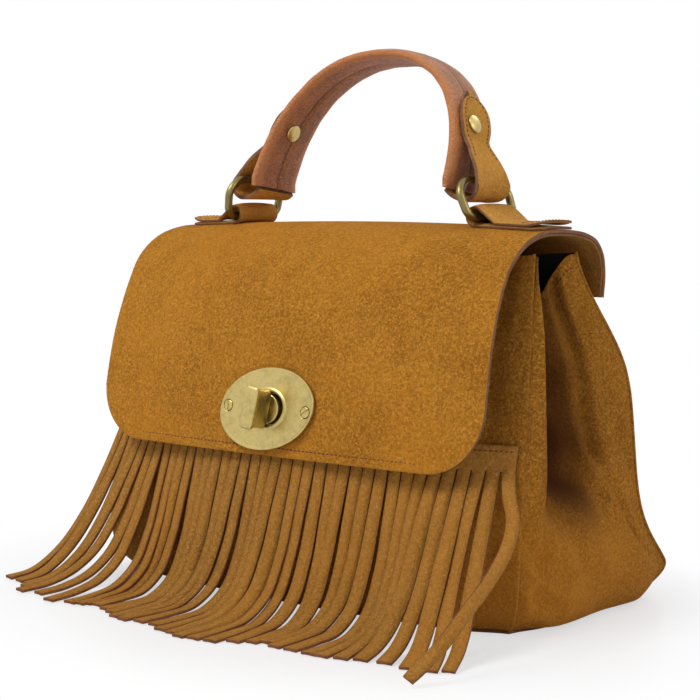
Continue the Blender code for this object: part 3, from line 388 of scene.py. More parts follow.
class Wire:
    """One output socket, with arithmetic that adds Math nodes."""

    def __init__(self, finish, socket):
        self.finish = finish
        self.socket = socket

    def math(self, operation, *values):
        """Add a Math node on this socket and the given values."""
        return self.finish.node("ShaderNodeMath", {"operation": operation}, dict(enumerate((self, *values))))

    def __add__(self, other):
        return self.math("ADD", other)

    def __sub__(self, other):
        return self.math("SUBTRACT", other)

    def __mul__(self, other):
        return self.math("MULTIPLY", other)

    def __rsub__(self, other):
        return self.finish.node("ShaderNodeMath", {"operation": "SUBTRACT"}, {0: other, 1: self})

    __radd__ = __add__
    __rmul__ = __mul__

    def ramp(self, low, high):
        """Ease from 0 at low to 1 at high."""
        return self.finish.node("ShaderNodeMapRange", {"interpolation_type": "SMOOTHSTEP"},
                                {"Value": self, "From Min": low, "From Max": high})


class Finish:
    """A Principled material under construction."""

    def __init__(self, name, roughness=0.5, metallic=0.0):
        self.material = bpy.data.materials.new(name)
        self.material.use_nodes = True
        self.tree = self.material.node_tree
        self.shader = self.tree.nodes["Principled BSDF"]
        self.shader.inputs["Roughness"].default_value = roughness
        self.shader.inputs["Metallic"].default_value = metallic

    def node(self, kind, settings=None, sockets=None, output=0):
        """Add a node, set its settings first and then the values or links of its sockets."""
        made = self.tree.nodes.new(kind)
        for key, value in (settings or {}).items():
            setattr(made, key, value)
        for key, value in (sockets or {}).items():
            if isinstance(value, Wire):
                self.tree.links.new(value.socket, made.inputs[key])
            else:
                made.inputs[key].default_value = value
        return Wire(self, made.outputs[output])

    def coordinates(self, scale=(1.0, 1.0, 1.0), kind="Object"):
        """Coordinates of the surface, stretched by a Mapping node."""
        place = self.node("ShaderNodeTexCoord", output=kind)
        return self.node("ShaderNodeMapping", None, {"Vector": place, "Scale": scale})

    def noise(self, where, scale, detail=3.0, roughness=0.55, distortion=0.0):
        """Value noise from 0 to 1."""
        return self.node("ShaderNodeTexNoise", None,
                         {"Vector": where, "Scale": scale, "Detail": detail, "Roughness": roughness,
                          "Distortion": distortion})

    def attribute(self, name):
        """A float attribute of the mesh."""
        return self.node("ShaderNodeAttribute", {"attribute_name": name}, output="Fac")

    def mix(self, factor, first, second):
        """Mix two colours."""
        made = self.tree.nodes.new("ShaderNodeMix")
        made.data_type = "RGBA"
        for index, value in ((0, factor), (6, first), (7, second)):
            if isinstance(value, Wire):
                self.tree.links.new(value.socket, made.inputs[index])
            elif index:
                made.inputs[index].default_value = (*value, 1.0)
            else:
                made.inputs[index].default_value = value
        return Wire(self, made.outputs[2])

    def feed(self, **links):
        """Link values to the shader's sockets."""
        for key, value in links.items():
            self.tree.links.new(value.socket, self.shader.inputs[key.replace("_", " ")])

    def bump(self, height, strength, distance):
        """Feed a Bump node to the shader's normal."""
        normal = self.node("ShaderNodeBump", None,
                           {"Height": height, "Strength": strength, "Distance": distance})
        self.feed(Normal=normal)


def tint(base, gain):
    """Multiply a colour by a number or three."""
    return tuple(float(x) for x in np.clip(np.array(base) * gain, 0.0, 1.0))


def suede_finish(name, base, dark, edge_wear=0.5):
    """Suede: brushed patches, small mottles and a fine nap, darker at its rubbed edges, with painted shade in
    its folds.
    """
    finish = Finish(name, 0.95)
    where = finish.coordinates()
    brushed = finish.coordinates((1.0, 1.0, 0.45))
    clouds = finish.noise(where, 17.0, 4.0, 0.6, 0.4)
    patches = finish.noise(brushed, 75.0, 4.0, 0.65, 0.6)
    mottle = finish.noise(where, 600.0, 4.0, 0.75)
    nap = finish.noise(where, 1150.0, 3.0, 0.75)
    shade = clouds.ramp(0.30, 0.70) * 0.28 + patches.ramp(0.3, 0.72) * 0.20 - 0.12
    shade = shade + mottle.ramp(0.39, 0.61) * 0.60 + nap.ramp(0.38, 0.62) * 0.44
    tone = finish.mix(shade, dark, base)
    bright = mottle.ramp(0.5, 0.68) * nap.ramp(0.48, 0.64)
    tone = finish.mix(bright, tone, tint(base, (1.45, 1.6, 2.4)))
    warm = finish.noise(where, 9.0, 2.0)
    tone = finish.mix(warm.ramp(0.4, 0.7) * 0.35, tone, tint(base, (1.08, 0.9, 0.6)))
    worn = 1.0 - (finish.attribute("edge") + mottle * 0.002).ramp(0.0006, 0.0034)
    tone = finish.mix(worn * edge_wear, tone, tint(base, (0.72, 0.72, 0.95)))
    # Painted shade: where the gusset's mask is high, the suede turns to a deep dark brown that stands in for
    # the shadow in its fold.
    tone = finish.mix(finish.attribute("recess"), tone, tint(dark, (0.26, 0.17, 0.30)))
    finish.bump(nap * 0.8 + mottle * 1.1 + patches * 1.3, 0.9, 0.0020)
    finish.feed(Base_Color=tone, Roughness=0.86 + nap * 0.14)
    finish.shader.inputs["Sheen Weight"].default_value = 0.10
    finish.shader.inputs["Sheen Roughness"].default_value = 0.45
    finish.shader.inputs["Sheen Tint"].default_value = (*tint(base, (1.5, 1.7, 2.6)), 1.0)
    finish.shader.inputs["Specular IOR Level"].default_value = 0.10
    return finish.material


def raw_edge_finish(name, base):
    """Cut edge of suede: pale fibres over a darker core."""
    finish = Finish(name, 0.95)
    where = finish.coordinates()
    fibre = finish.noise(where, 900.0, 3.0, 0.7)
    patch = finish.noise(where, 120.0, 3.0)
    shade = fibre.ramp(0.3, 0.7) * 0.6 + patch.ramp(0.35, 0.7) * 0.4
    tone = finish.mix(shade, tint(base, 0.55), tint(base, 1.25))
    finish.bump(fibre, 0.6, 0.0004)
    finish.feed(Base_Color=tone)
    finish.shader.inputs["Specular IOR Level"].default_value = 0.1
    return finish.material


def leather_finish(name, base):
    """Smooth leather: pebbled grain, short cross wrinkles, a painted highlight along its rolled edges and a
    dark middle seam.
    """
    finish = Finish(name, 0.5)
    where = finish.coordinates()
    across = finish.coordinates((420.0, 900.0, 1.0), "UV")
    grain = finish.node("ShaderNodeTexVoronoi", {"feature": "DISTANCE_TO_EDGE"},
                        {"Vector": where, "Scale": 620.0, "Randomness": 1.0})
    wrinkle = finish.noise(across, 1.0, 4.0, 0.65, 0.8)
    broad = finish.noise(where, 60.0, 4.0, 0.6)
    fine = finish.noise(where, 1400.0, 2.0)
    place = finish.node("ShaderNodeTexCoord", output="UV")
    off = finish.node("ShaderNodeSeparateXYZ", None, {0: place}).math("ABSOLUTE")
    shade = broad.ramp(0.3, 0.7) * 0.4 + wrinkle.ramp(0.40, 0.62) * 0.6
    tone = finish.mix(shade, tint(base, 0.45), tint(base, 1.12))
    # Painted highlight: the grip's rolled edges, far from the middle of its section, are made paler and
    # greyer.
    tone = finish.mix(off.ramp(0.0105, 0.0150) * 0.6, tone, tint(base, (1.4, 1.55, 1.8)))
    tone = finish.mix((1.0 - off.ramp(0.0002, 0.0010)) * 0.8, tone, tint(base, 0.22))
    tone = finish.mix(fine.ramp(0.6, 0.8) * 0.3, tone, tint(base, (1.5, 1.6, 1.8)))
    height = grain.ramp(0.0, 0.09) * 0.35 + wrinkle * 1.2 + broad * 0.8
    finish.bump(height, 0.9, 0.0016)
    finish.feed(Base_Color=tone, Roughness=0.36 + wrinkle * 0.22)
    finish.shader.inputs["Specular IOR Level"].default_value = 0.5
    return finish.material


def brass_finish(name, base, dark):
    """Antique brass: rubbed bright metal mottled with a brown patina and fine scratches."""
    finish = Finish(name, 0.4, 1.0)
    where = finish.coordinates()
    blotch = finish.noise(where, 150.0, 5.0, 0.65, 0.8)
    fine = finish.noise(where, 900.0, 3.0, 0.65)
    scratch = finish.noise(finish.coordinates((60.0, 60.0, 1600.0)), 1.0, 2.0)
    patina = blotch.ramp(0.42, 0.75) * 0.36 + fine.ramp(0.45, 0.8) * 0.3
    tone = finish.mix(patina, base, dark)
    tone = finish.mix(scratch.ramp(0.62, 0.8) * 0.25, tone, tint(base, 1.3))
    finish.bump(blotch * 0.8 + fine * 0.5 + scratch * 0.3, 0.25, 0.0003)
    finish.feed(Base_Color=tone, Roughness=0.30 + patina * 0.35)
    return finish.material


def lining_finish(name, base):
    """Dark plain-weave cloth: crossed sine threads under a faint mottle."""
    finish = Finish(name, 0.85)
    where = finish.coordinates()
    weave = finish.node("ShaderNodeTexWave", {"wave_type": "BANDS", "bands_direction": "X"},
                        {"Vector": where, "Scale": 320.0, "Distortion": 1.0})
    weft = finish.node("ShaderNodeTexWave", {"wave_type": "BANDS", "bands_direction": "Z"},
                       {"Vector": where, "Scale": 320.0, "Distortion": 1.0})
    soft = finish.noise(where, 40.0, 3.0)
    tone = finish.mix(weave * weft * 0.6 + soft * 0.4, tint(base, 0.6), tint(base, 1.8))
    finish.bump(weave * weft, 0.3, 0.0003)
    finish.feed(Base_Color=tone)
    return finish.material


def thread_finish(name, base):
    """Twisted thread: a fine diagonal twist with lighter fibres."""
    finish = Finish(name, 0.7)
    where = finish.coordinates()
    twist = finish.noise(where, 1300.0, 2.0)
    tone = finish.mix(twist.ramp(0.35, 0.7), tint(base, 0.7), tint(base, 1.5))
    finish.bump(twist, 0.4, 0.0003)
    finish.feed(Base_Color=tone)
    return finish.material


FINISHES = {}


def finish(name):
    """Return one of the bag's materials, made once."""
    if not FINISHES:
        c = colours()
        suede, dark, fringe = tuple(c.suede), tuple(c.suede_dark), tuple(c.fringe)
        edge, brass, patina = tuple(c.raw_edge), tuple(c.brass), tuple(c.brass_dark)
        body, body_dark = tint(suede, (0.82, 0.80, 0.9)), tint(dark, 0.72)
        # Painted light: the tabs and straps take a paler, greyer copy of the flap suede, standing in for the
        # sheen and light they catch on top of the bag.
        tab, tab_dark = tint(suede, (1.15, 1.35, 2.4)), tint(dark, (1.5, 1.8, 3.2))
        FINISHES["suede"] = suede_finish("flap suede", suede, dark)
        FINISHES["body"] = suede_finish("body suede", body, body_dark, 0.2)
        FINISHES["fringe"] = suede_finish("fringe suede", fringe, tint(fringe, (0.6, 0.55, 0.5)), 0.25)
        FINISHES["facing"] = suede_finish("facing suede", tint(fringe, 0.9), tint(fringe, 0.5), 0.3)
        FINISHES["tab"] = suede_finish("tab suede", tab, tab_dark, 0.45)
        FINISHES["edge"] = raw_edge_finish("raw suede edge", edge)
        FINISHES["fringe_edge"] = raw_edge_finish("raw fringe edge", tint(edge, (1.05, 0.85, 0.7)))
        FINISHES["leather"] = leather_finish("grip leather", tuple(c.leather))
        FINISHES["brass"] = brass_finish("antique brass", brass, patina)
        FINISHES["dark_brass"] = brass_finish("dark brass", tint(brass, 0.42), tint(patina, 0.5))
        FINISHES["lining"] = lining_finish("lining cloth", tuple(c.lining))
        FINISHES["thread"] = thread_finish("thread", tuple(c.thread))
    return FINISHES[name]


# Body

def seam_half_width(z):
    """Half width at the seams: a quarter cosine of height from top to base, tucked in at the floor."""
    h = np.clip(z / BODY_TOP, 0.0, 1.0)
    tuck = 6 * MM * np.clip(1.0 - z / (16 * MM), 0.0, 1.0) ** 2
    top = sizes().top_half_width
    return top + (sizes().base_half_width - top) * np.cos(0.5 * math.pi * h**1.5) - tuck


def front_seam_depth(z):
    """How far the front seams stand forward: 63 mm at the base, less a power of height."""
    h = np.clip(z / BODY_TOP, 0.0, 1.0)
    tuck = 6 * MM * np.clip(1.0 - z / (14 * MM), 0.0, 1.0) ** 2
    return (22 + 41 * (1.0 - h**2.05)) * MM - tuck


def back_seam_depth(z):
    """How far the back seams stand back: a step at mid height and a bell-shaped flare at the base."""
    tuck = 14 * MM * np.clip(1.0 - z / (16 * MM), 0.0, 1.0) ** 2
    return (35 + 19 * ease(BODY_TOP, 0.57 * BODY_TOP, z) + 37 * np.exp(-((z / (38 * MM)) ** 2))) * MM - tuck


def front_surface(u, z):
    """Front wall: seam depth plus a bulge that falls off as 1 - u^2."""
    h = np.clip(z / BODY_TOP, 0.0, 1.0)
    bulge = (13 + 12.5 * np.sin(math.pi * h**1.45)) * MM
    y = -(front_seam_depth(z) + bulge * (1.0 - u * u))
    return np.stack(np.broadcast_arrays(u * seam_half_width(z), y, z), axis=-1)


def back_surface(u, z):
    """Back wall: seam depth plus a bulge that falls off as 1 - u^2."""
    h = np.clip(z / BODY_TOP, 0.0, 1.0)
    bulge = (7 + 7 * np.sin(math.pi * h)) * MM
    y = back_seam_depth(z) + bulge * (1.0 - u * u)
    return np.stack(np.broadcast_arrays(u * seam_half_width(z), y, z), axis=-1)


def settled(grid):
    """Let the body slump: its right back corner lifts, its front feet tuck in, its back top nips in."""
    x, y, z = (grid[..., k].copy() for k in range(3))
    rise = ease(48 * MM, 92 * MM, y) * ease(95 * MM, 148 * MM, x)
    low = np.clip(1.0 - z / (34 * MM), 0.0, 1.0) ** 2
    foot = low * ease(-25 * MM, -60 * MM, y) * ease(110 * MM, 146 * MM, np.abs(x))
    nip = ease(128 * MM, 192 * MM, z) * ease(-4 * MM, 30 * MM, y)
    x = x * (1.0 - 0.045 * nip * ease(60 * MM, 125 * MM, np.abs(x))) - np.sign(x) * 7 * MM * foot
    y = y + 6 * MM * foot - 6 * MM * nip * ease(60 * MM, 125 * MM, np.abs(x))
    z = z + 7.0 * MM * rise * np.exp(-z / (30 * MM))
    return np.stack([x, y, z], axis=-1)


def wall_grid(surface, columns, rows):
    """Grid of a wall from its lower edge to its top edge, which sags in the middle."""
    u = np.linspace(-1.0, 1.0, columns)[None, :]
    v = np.linspace(0.0, 1.0, rows)[:, None] ** 1.15
    low = SUEDE + GAP
    top = BODY_TOP - 4 * MM * (1.0 - u * u)
    return surface(u, low + (top - low) * v)


def front_wall():
    """Front wall with soft upright folds beside the flap and slack waves above the base."""
    grid = wall_grid(front_surface, 141, 110)
    x, z = grid[..., 0], grid[..., 2]
    inside = ease(0.0, 9 * MM, surface_map(grid)[1].reshape(x.shape))
    push = ripples(x, z, 3, 60 * MM, 0.5 * MM)
    push = push + crease(x, z, (0.118, 0.19), (0.128, 0.10), 6 * MM, 1.6 * MM)
    push = push + crease(x, z, (0.136, 0.045), (0.120, 0.012), 5 * MM, 1.4 * MM)
    push = np.minimum(push, 0.4 * MM)
    return settled(grid + grid_normals(grid) * (push * inside)[..., None])


def back_wall():
    """Back wall with a broad slack wave and two soft folds."""
    grid = wall_grid(back_surface, 121, 90)
    x, z = grid[..., 0], grid[..., 2]
    inside = ease(0.0, 12 * MM, surface_map(grid)[1].reshape(x.shape))
    push = ripples(x, z, 5, 75 * MM, 0.9 * MM)
    push = push + crease(x, z, (-0.10, 0.11), (0.02, 0.06), 9 * MM, 1.8 * MM)
    push = push + crease(x, z, (0.11, 0.12), (0.04, 0.035), 8 * MM, 1.6 * MM)
    return settled(grid + grid_normals(grid, True) * (push * inside)[..., None])


def gusset_section(z):
    """Points (x, y) of the folded gusset at height z: seam, front lobe, valley, crease and back seam."""
    h = z / BODY_TOP
    seam = float(seam_half_width(z))
    front, back = -float(front_seam_depth(z)), float(back_seam_depth(z))
    butt = SUEDE + GAP + 0.3 * MM
    lobe = (2 + 4 * float(ease(0.95, 0.75, h)) + 9 * math.exp(-(((h - 0.42) / 0.2) ** 2))) * MM
    fold = (44 * float(ease(0.20, 0.58, h)) - 5) * MM
    crease_in = (24 * min(max((h - 0.15) / 0.78, 0.0), 1.0) - 5) * MM
    stand = 4.2 * MM * float(ease(0.0, 0.12, h) * ease(1.02, 0.72, h)) + 0.5 * MM
    deep = front + lobe + 17 * MM
    return np.array([
        (seam - 0.3 * MM, front + butt),
        (seam + stand, front + lobe),
        (seam - 0.35 * fold, front + lobe + 7 * MM),
        (seam - fold, deep),
        (seam - 0.5 * (fold + crease_in), 0.45 * deep + 0.55 * (back - 20 * MM)),
        (seam - crease_in, back - 20 * MM),
        (seam - 0.10 * crease_in - 0.6 * MM, back - butt - 5 * MM),
        (seam - 0.3 * MM, back - butt)])


def gusset_grid(columns, rows, side):
    """Gusset: sections at fine heights, read off at each column's own height, with its hem dipped."""
    s = np.linspace(0.0, 1.0, columns)
    v = np.linspace(0.0, 1.0, rows)[:, None] ** 1.15
    low = SUEDE + GAP
    high = BODY_TOP - 1 * MM - 27 * MM * (ease(0.99, 0.62, s) * ease(0.04, 0.26, s))[None, :]
    z = low + (high - low) * v
    levels = np.linspace(low, BODY_TOP, 130)
    table = np.stack([smooth_curve(gusset_section(level), columns) for level in levels])
    at = (z - low) / (BODY_TOP - low) * (len(levels) - 1)
    under = np.clip(at.astype(int), 0, len(levels) - 2)
    part = (at - under)[..., None]
    column = np.broadcast_to(np.arange(columns)[None, :], z.shape)
    xy = table[under, column] * (1.0 - part) + table[under + 1, column] * part
    grid = np.concatenate([xy, z[..., None]], axis=-1)
    grid[..., 0] *= side
    return grid


# Wrinkles of a gusset: start, end and width as shares of its breadth and height, depth in millimetres
WRINKLES = (
    ((0.82, 0.98), (0.77, 0.45), 0.028, 3.0), ((0.77, 0.45), (0.88, 0.16), 0.032, 2.6),
    ((0.92, 0.50), (0.98, 0.38), 0.028, 2.2), ((0.02, 0.235), (0.26, 0.16), 0.03, 2.4),
    ((0.02, 0.15), (0.20, 0.05), 0.026, 1.8), ((0.44, 0.62), (0.66, 0.66), 0.05, 2.4),
    ((0.40, 0.42), (0.70, 0.36), 0.05, 2.6), ((0.30, 0.30), (0.45, 0.10), 0.05, 1.4))


def gusset_wall(side):
    """Gusset with a pressed crease before the back band, a deep fold and wrinkles at its belly.

    Returns its grid and a mask of painted shade, from 0 to 1, highest deep in the fold's hollow.
    """
    grid = gusset_grid(120, 130, side)
    border = surface_map(grid)[1].reshape(grid.shape[:2])
    s = np.broadcast_to(np.linspace(0.0, 1.0, grid.shape[1])[None, :], grid.shape[:2])
    z = grid[..., 2]
    q = z / BODY_TOP
    push = ripples(s * 0.12, z, 11 if side > 0 else 12, 34 * MM, 0.5 * MM)
    for start, end, width, depth in WRINKLES:
        push = push + crease(s, q, start, end, width, depth * MM)
    push = push + 3.0 * MM * np.exp(-(((s - 0.52) / 0.24) ** 2) - ((q - 0.16) / 0.10) ** 2)
    grid = grid + grid_normals(grid, side < 0) * (push * ease(0.0, 6 * MM, border))[..., None]
    # Painted shade mask: it darkens the suede in the hollow of the fold between the front lobe and the
    # pressed crease, with soft edges and a little waviness.
    lower = 0.38 - 0.10 * ease(0.12, 0.5, s) + 0.17 * ease(0.55, 0.82, s)
    recess = ease(0.05, 0.19, s) * ease(0.92, 0.60, s) * ease(lower - 0.09, lower + 0.10, q)
    recess = recess * (0.86 + 0.14 * np.cos(ripples(s * 0.12, z, 14, 40 * MM, 1.5)))
    return settled(grid), recess


def base_grid():
    """Base: ruled between the lower edges of the two walls, its corners lifted with them."""
    u = np.linspace(-1.0, 1.0, 61)
    edge = np.full(61, SUEDE + GAP)
    front = front_surface(u, edge)[:, :2] + (0.0, 0.6 * MM)
    back = back_surface(u, edge)[:, :2] - (0.0, 0.6 * MM)
    t = np.linspace(0.0, 1.0, 41)[:, None, None]
    flat = front[None] + (back - front)[None] * t
    flat[..., 0] *= 1.0 - 0.6 / 150.0
    return settled(np.concatenate([flat, np.full((*flat.shape[:2], 1), SUEDE)], axis=-1))


def lining_rings():
    """Lining pouch: loops that follow the walls inside them and fold in at the gussets."""
    columns = 31
    low, top = 2 * SUEDE + 2 * GAP, BODY_TOP - 24 * MM
    rings = []
    for z in np.linspace(low, top, 30):
        half = seam_half_width(z) - (16 + 16 * ease(0.15, 0.6, z / BODY_TOP)) * MM
        u = np.linspace(-1.0, 1.0, columns) * half / seam_half_width(z)
        front = front_surface(u, np.full(columns, z)) + (0.0, SUEDE + 5.5 * MM, 0.0)
        back = back_surface(-u, np.full(columns, z)) - (0.0, SUEDE + 3.5 * MM, 0.0)
        valley = min(gusset_section(z)[3, 0] - SUEDE - 5 * MM, half + 4 * MM)
        middle = gusset_section(z)[3, 1] + 3 * MM
        rings.append(np.concatenate([front, [(valley, middle, z)], back, [(-valley, middle, z)]]))
    return np.stack(rings)


# Flap

def flap_profile():
    """Side profile (y, z) of the flap, from its back edge over the crest to the hem."""
    back, front = 35 * MM, 22 * MM
    shape = [(back + 10.5 * MM, -38), (back + 12 * MM, -25), (back + 10 * MM, -14), (back + 4 * MM, -6.8),
             (back - 7 * MM, -2.6), (back - 21 * MM, -0.6), (0.0, 0), (-front + 8 * MM, -0.8),
             (-front - 5 * MM, -4.3), (-front - 16 * MM, -10.3), (-front - 27 * MM, -19.8),
             (-front - 36 * MM, -33.8), (-front - 44.5 * MM, -54.8), (-front - 51 * MM, -79.8),
             (-front - 55 * MM, -102.8), (-front - 56.5 * MM, -123.8)]
    return smooth_curve([(y, CREST + z * MM) for y, z in shape], 240)


def flap_grid(rows, half_columns, inset, slack=0.0):
    """Flap: each column follows the side profile, pushed out by a swell of 1 - u^2.

    The outline is drawn in by inset and its lower corners are quarter rounds. Slack adds soft
    waves away from the crest and the lock.
    """
    s = sizes()
    profile = flap_profile()
    run_of = np.concatenate([[0.0], np.cumsum(np.linalg.norm(np.diff(profile, axis=0), axis=1))])
    along = unit(np.gradient(profile, axis=0))
    normal = np.stack([along[:, 1], -along[:, 0]], axis=1)
    crest_at = run_of[np.argmax(profile[:, 1])]
    half = np.sin(np.linspace(0.0, 0.5 * math.pi, half_columns))
    u = np.concatenate([-half[:0:-1], half])[None, :]
    beyond = np.maximum(np.abs(u) * s.hem_half_width - (s.hem_half_width - s.flap_corner), 0.0)
    rise = s.flap_corner - np.sqrt(np.maximum(s.flap_corner**2 - beyond**2, 0.0))
    end = run_of[-1] - inset - np.minimum(rise, s.flap_corner * 0.86)
    run = inset + (end - inset) * np.linspace(0.0, 1.0, rows)[:, None]
    y, z = (np.interp(run, run_of, profile[:, k]) for k in range(2))
    ny, nz = (np.interp(run, run_of, normal[:, k]) for k in range(2))
    swell = 3 + 4.5 * ease(crest_at, crest_at + 110 * MM, run) + 5 * ease(crest_at, 0.0, run)
    widen = ease(crest_at + 20 * MM, crest_at + 130 * MM, run)
    half_width = s.flap_half_width + (s.hem_half_width - s.flap_half_width) * widen - inset
    shoulder = 6 * MM * np.exp(-(((run - crest_at - 42 * MM) / (26 * MM)) ** 2))
    half_width = half_width + shoulder * (u < 0.0)
    x = u * half_width
    out = swell * MM * (1.0 - u * u)
    away = ease(26 * MM, 52 * MM, np.abs(run - crest_at))
    lock = np.exp(-((x / (46 * MM)) ** 2) - ((z - s.lock_height) / (34 * MM)) ** 2)
    out = out + slack * ripples(x, run + 0.0 * x, 21, 70 * MM, 1.0) * away * (1.0 - lock)
    return np.stack([x, y + ny * out, z + nz * out], axis=-1)


def crest_height(x):
    """Height of the flap's crest at x: it swells by 3 mm in the middle."""
    return CREST + 3 * MM * (1.0 - (x / (132 * MM)) ** 2)


def lock_axes():
    """Origin on the flap's face at the lock, and its across, up and out directions."""
    s = sizes()
    middle = flap_grid(300, 2, 0.0)[:, 1]
    front = middle[middle[:, 1] < 0.0]
    order = np.argsort(front[:, 2])
    around = s.lock_height + 14 * MM * np.array([-1.0, 0.0, 1.0])
    low, y, high = np.interp(around, front[order, 2], front[order, 1])
    tilt = math.atan2(high - low, 28 * MM)
    across = np.array([1.0, 0.0, 0.0])
    out = np.array([0.0, -math.cos(tilt), math.sin(tilt)])
    return np.array([0.0, y, s.lock_height]), across, np.cross(out, across), out


def at_lock(points):
    """Place points (across, up, out) of the lock's own frame in the bag."""
    origin, across, up, out = lock_axes()
    return origin + points[..., :1] * across + points[..., 1:2] * up + points[..., 2:] * out


def oval(a, b, height, count, power=2.0):
    """Superellipse with half axes a and b at a height, counter-clockwise."""
    turn = np.linspace(0.0, 2.0 * math.pi, count, endpoint=False)
    x = a * np.sign(np.cos(turn)) * np.abs(np.cos(turn)) ** (2.0 / power)
    y = b * np.sign(np.sin(turn)) * np.abs(np.sin(turn)) ** (2.0 / power)
    return np.stack([x, y, np.full(count, height)], axis=1)


# Fringe

def bell(middle, width, value):
    """Bell curve: exp of minus the squared distance from its middle, in widths."""
    return np.exp(-(((value - middle) / width) ** 2))


def strip_tips(share):
    """Where the strips end on the floor: a shallow arc, swept out at both ends."""
    x = 157 * MM * share + 4 * MM * np.sin(9.0 * share)
    y = -(158 * MM - 22 * MM * share**2 + 4 * MM * np.cos(7.0 * share))
    x = x - 10 * MM * bell(-1.0, 0.25, share) + 13 * MM * bell(1.0, 0.3, share)
    y = y + 10 * MM * bell(-1.0, 0.2, share) + 14 * MM * bell(1.0, 0.15, share)
    return x, y


def fringe_band(columns_x, rows):
    """Uncut band: the front wall's surface pushed out by the strips' thickness and a gap."""
    s = sizes()
    z = np.linspace(s.fringe_top, s.fringe_top - s.band_height, rows)[:, None]
    grid = front_surface(columns_x[None, :] / seam_half_width(z), z)
    return grid + grid_normals(grid, True) * (GAP + STRIP_SUEDE)


# A strip's way from the band to its tip, as shares of the way forward and of the height
HANGING = ((0.0, 1.0), (0.10, 0.66), (0.20, 0.34), (0.33, 0.12), (0.52, 0.015), (0.76, 0.0), (1.0, 0.0))
SLANTING = ((0.0, 1.0), (0.15, 0.71), (0.33, 0.42), (0.56, 0.17), (0.80, 0.03), (1.0, 0.0))
STEEP = ((0.0, 1.0), (0.16, 0.80), (0.36, 0.53), (0.58, 0.27), (0.82, 0.06), (1.0, 0.0))


def strip_paths(start, share, steps, rng):
    """Middle lines of the strips, which hang first and then sweep along the floor to their tips.

    Strips at the left slant more, and those at the right hang straighter. Sine waves of the
    strip's number bunch the tips, and seeded draws bend each line a little.
    """
    count = len(start)
    number = np.arange(count)
    tip_x, tip_y = strip_tips(share)
    bunch = 2.2 * MM + 4.0 * MM * ease(-0.2, -0.85, share)
    tip_x = tip_x + bunch * np.sin(number * 1.13) + rng.uniform(-1.2, 1.2, count) * MM
    tip_y = tip_y + rng.uniform(-4.0, 3.0, count) * MM + 3.5 * MM * np.sin(number * 0.83)
    t = np.linspace(0.0, 1.0, steps)
    hang, slant, steep = (smooth_curve(way, steps) for way in (HANGING, SLANTING, STEEP))
    left, right = ease(-0.45, -1.0, share)[:, None, None], ease(0.55, 0.85, share)[:, None, None]
    shape = hang[None] * (1.0 - left - right) + slant[None] * left + steep[None] * right
    lift = np.abs(np.sin(number * 1.7))[:, None] * 2.2 * MM * np.sin(math.pi * t) ** 2
    path = np.stack([start[:, :1] + shape[..., 0] * (tip_x - start[:, 0])[:, None],
                     start[:, 1:2] + shape[..., 0] * (tip_y - start[:, 1])[:, None],
                     STRIP_FLOOR + shape[..., 1] * (start[:, 2:] - STRIP_FLOOR) + lift], axis=2)
    path[..., 0] += rng.uniform(-1.0, 1.0, (count, 1)) * np.sin(math.pi * t) * 1.8 * MM
    path[..., 1] -= (1.5 + rng.uniform(-1.0, 1.0, (count, 1))) * np.sin(math.pi * t) ** 2 * MM
    path[-1] = crossing_strip(path[-1, 0], steps)
    return path


def strip_directions(path, foot, rng):
    """Directions along and across the strips: from the wall's to the floor's, with a seeded twist."""
    count, steps = path.shape[:2]
    t = np.linspace(0.0, 1.0, steps)[None, :, None]
    along = unit(np.gradient(path, axis=1))
    first = unit(foot[:, 2] - foot[:, 0])[:, None]
    last = unit(np.cross(along[:, -1], (0.0, 0.0, -1.0)))[:, None]
    turn = ease(0.15, 0.95, t)
    across = first * (1.0 - turn) + last * turn
    across = unit(across - (across * along).sum(axis=-1, keepdims=True) * along)
    face = np.cross(along, across)
    twist = np.radians(rng.normal(0.0, 9.0, (count, 1, 1))) * np.sin(math.pi * t)
    twist[-1] = np.radians(-75.0) * ease(0.1, 0.6, t[0]) * ease(1.1, 0.8, t[0])
    return along, across * np.cos(twist) + face * np.sin(twist)


def fringe_grid():
    """Band and strips as one grid of three columns a strip; the cells between strips are left out."""
    s = sizes()
    count, rows, steps = s.strip_count, BAND_ROWS, 44
    low = s.fringe_top - s.band_height
    usable = 2.0 * (float(seam_half_width(low)) - 3 * MM)
    pitch = usable / count
    width = pitch - s.strip_gap
    centre = (np.arange(count) - 0.5 * (count - 1)) * pitch
    columns = (centre[:, None] + 0.5 * width * np.array([-1.0, 0.0, 1.0])).ravel()
    band = fringe_band(columns, rows)
    foot = band[-1].reshape(count, 3, 3)
    rng = np.random.default_rng(17)
    path = strip_paths(foot[:, 1], centre / (0.5 * usable), steps, rng)
    along, across = strip_directions(path, foot, rng)
    camber = np.cross(along, across) * 0.25 * MM
    spread = np.abs(np.gradient(path[:-1, :, 0], axis=0)) / pitch
    wide = np.ones((count, steps, 1)) * width
    wide[:-1, :, 0] *= np.clip(spread, 1.0, 1.22)
    strips = np.stack([path - across * 0.5 * wide, path + camber, path + across * 0.5 * wide], axis=2)
    strips[..., 2] = np.maximum(strips[..., 2], STRIP_FLOOR - 0.2 * MM)
    strips[:, 0] = foot
    strips = strips.transpose(1, 0, 2, 3).reshape(steps, count * 3, 3)
    grid = np.concatenate([band[:-1], strips])
    keep = np.ones((grid.shape[0] - 1, grid.shape[1] - 1), bool)
    keep[rows - 1:, 2::3] = False
    return grid, keep


def crossing_strip(start, steps):
    """The last strip on the right: it bows outwards and then crosses over its neighbours."""
    points = [start, (0.1500, -0.0705, 0.0760), (0.1590, -0.0800, 0.0660), (0.1655, -0.0930, 0.0560),
              (0.1690, -0.1120, 0.0430), (0.1690, -0.1320, 0.0300), (0.1670, -0.1500, 0.0165),
              (0.1605, -0.1660, 0.0040)]
    return smooth_curve(points, steps)


# Rings, straps and handle

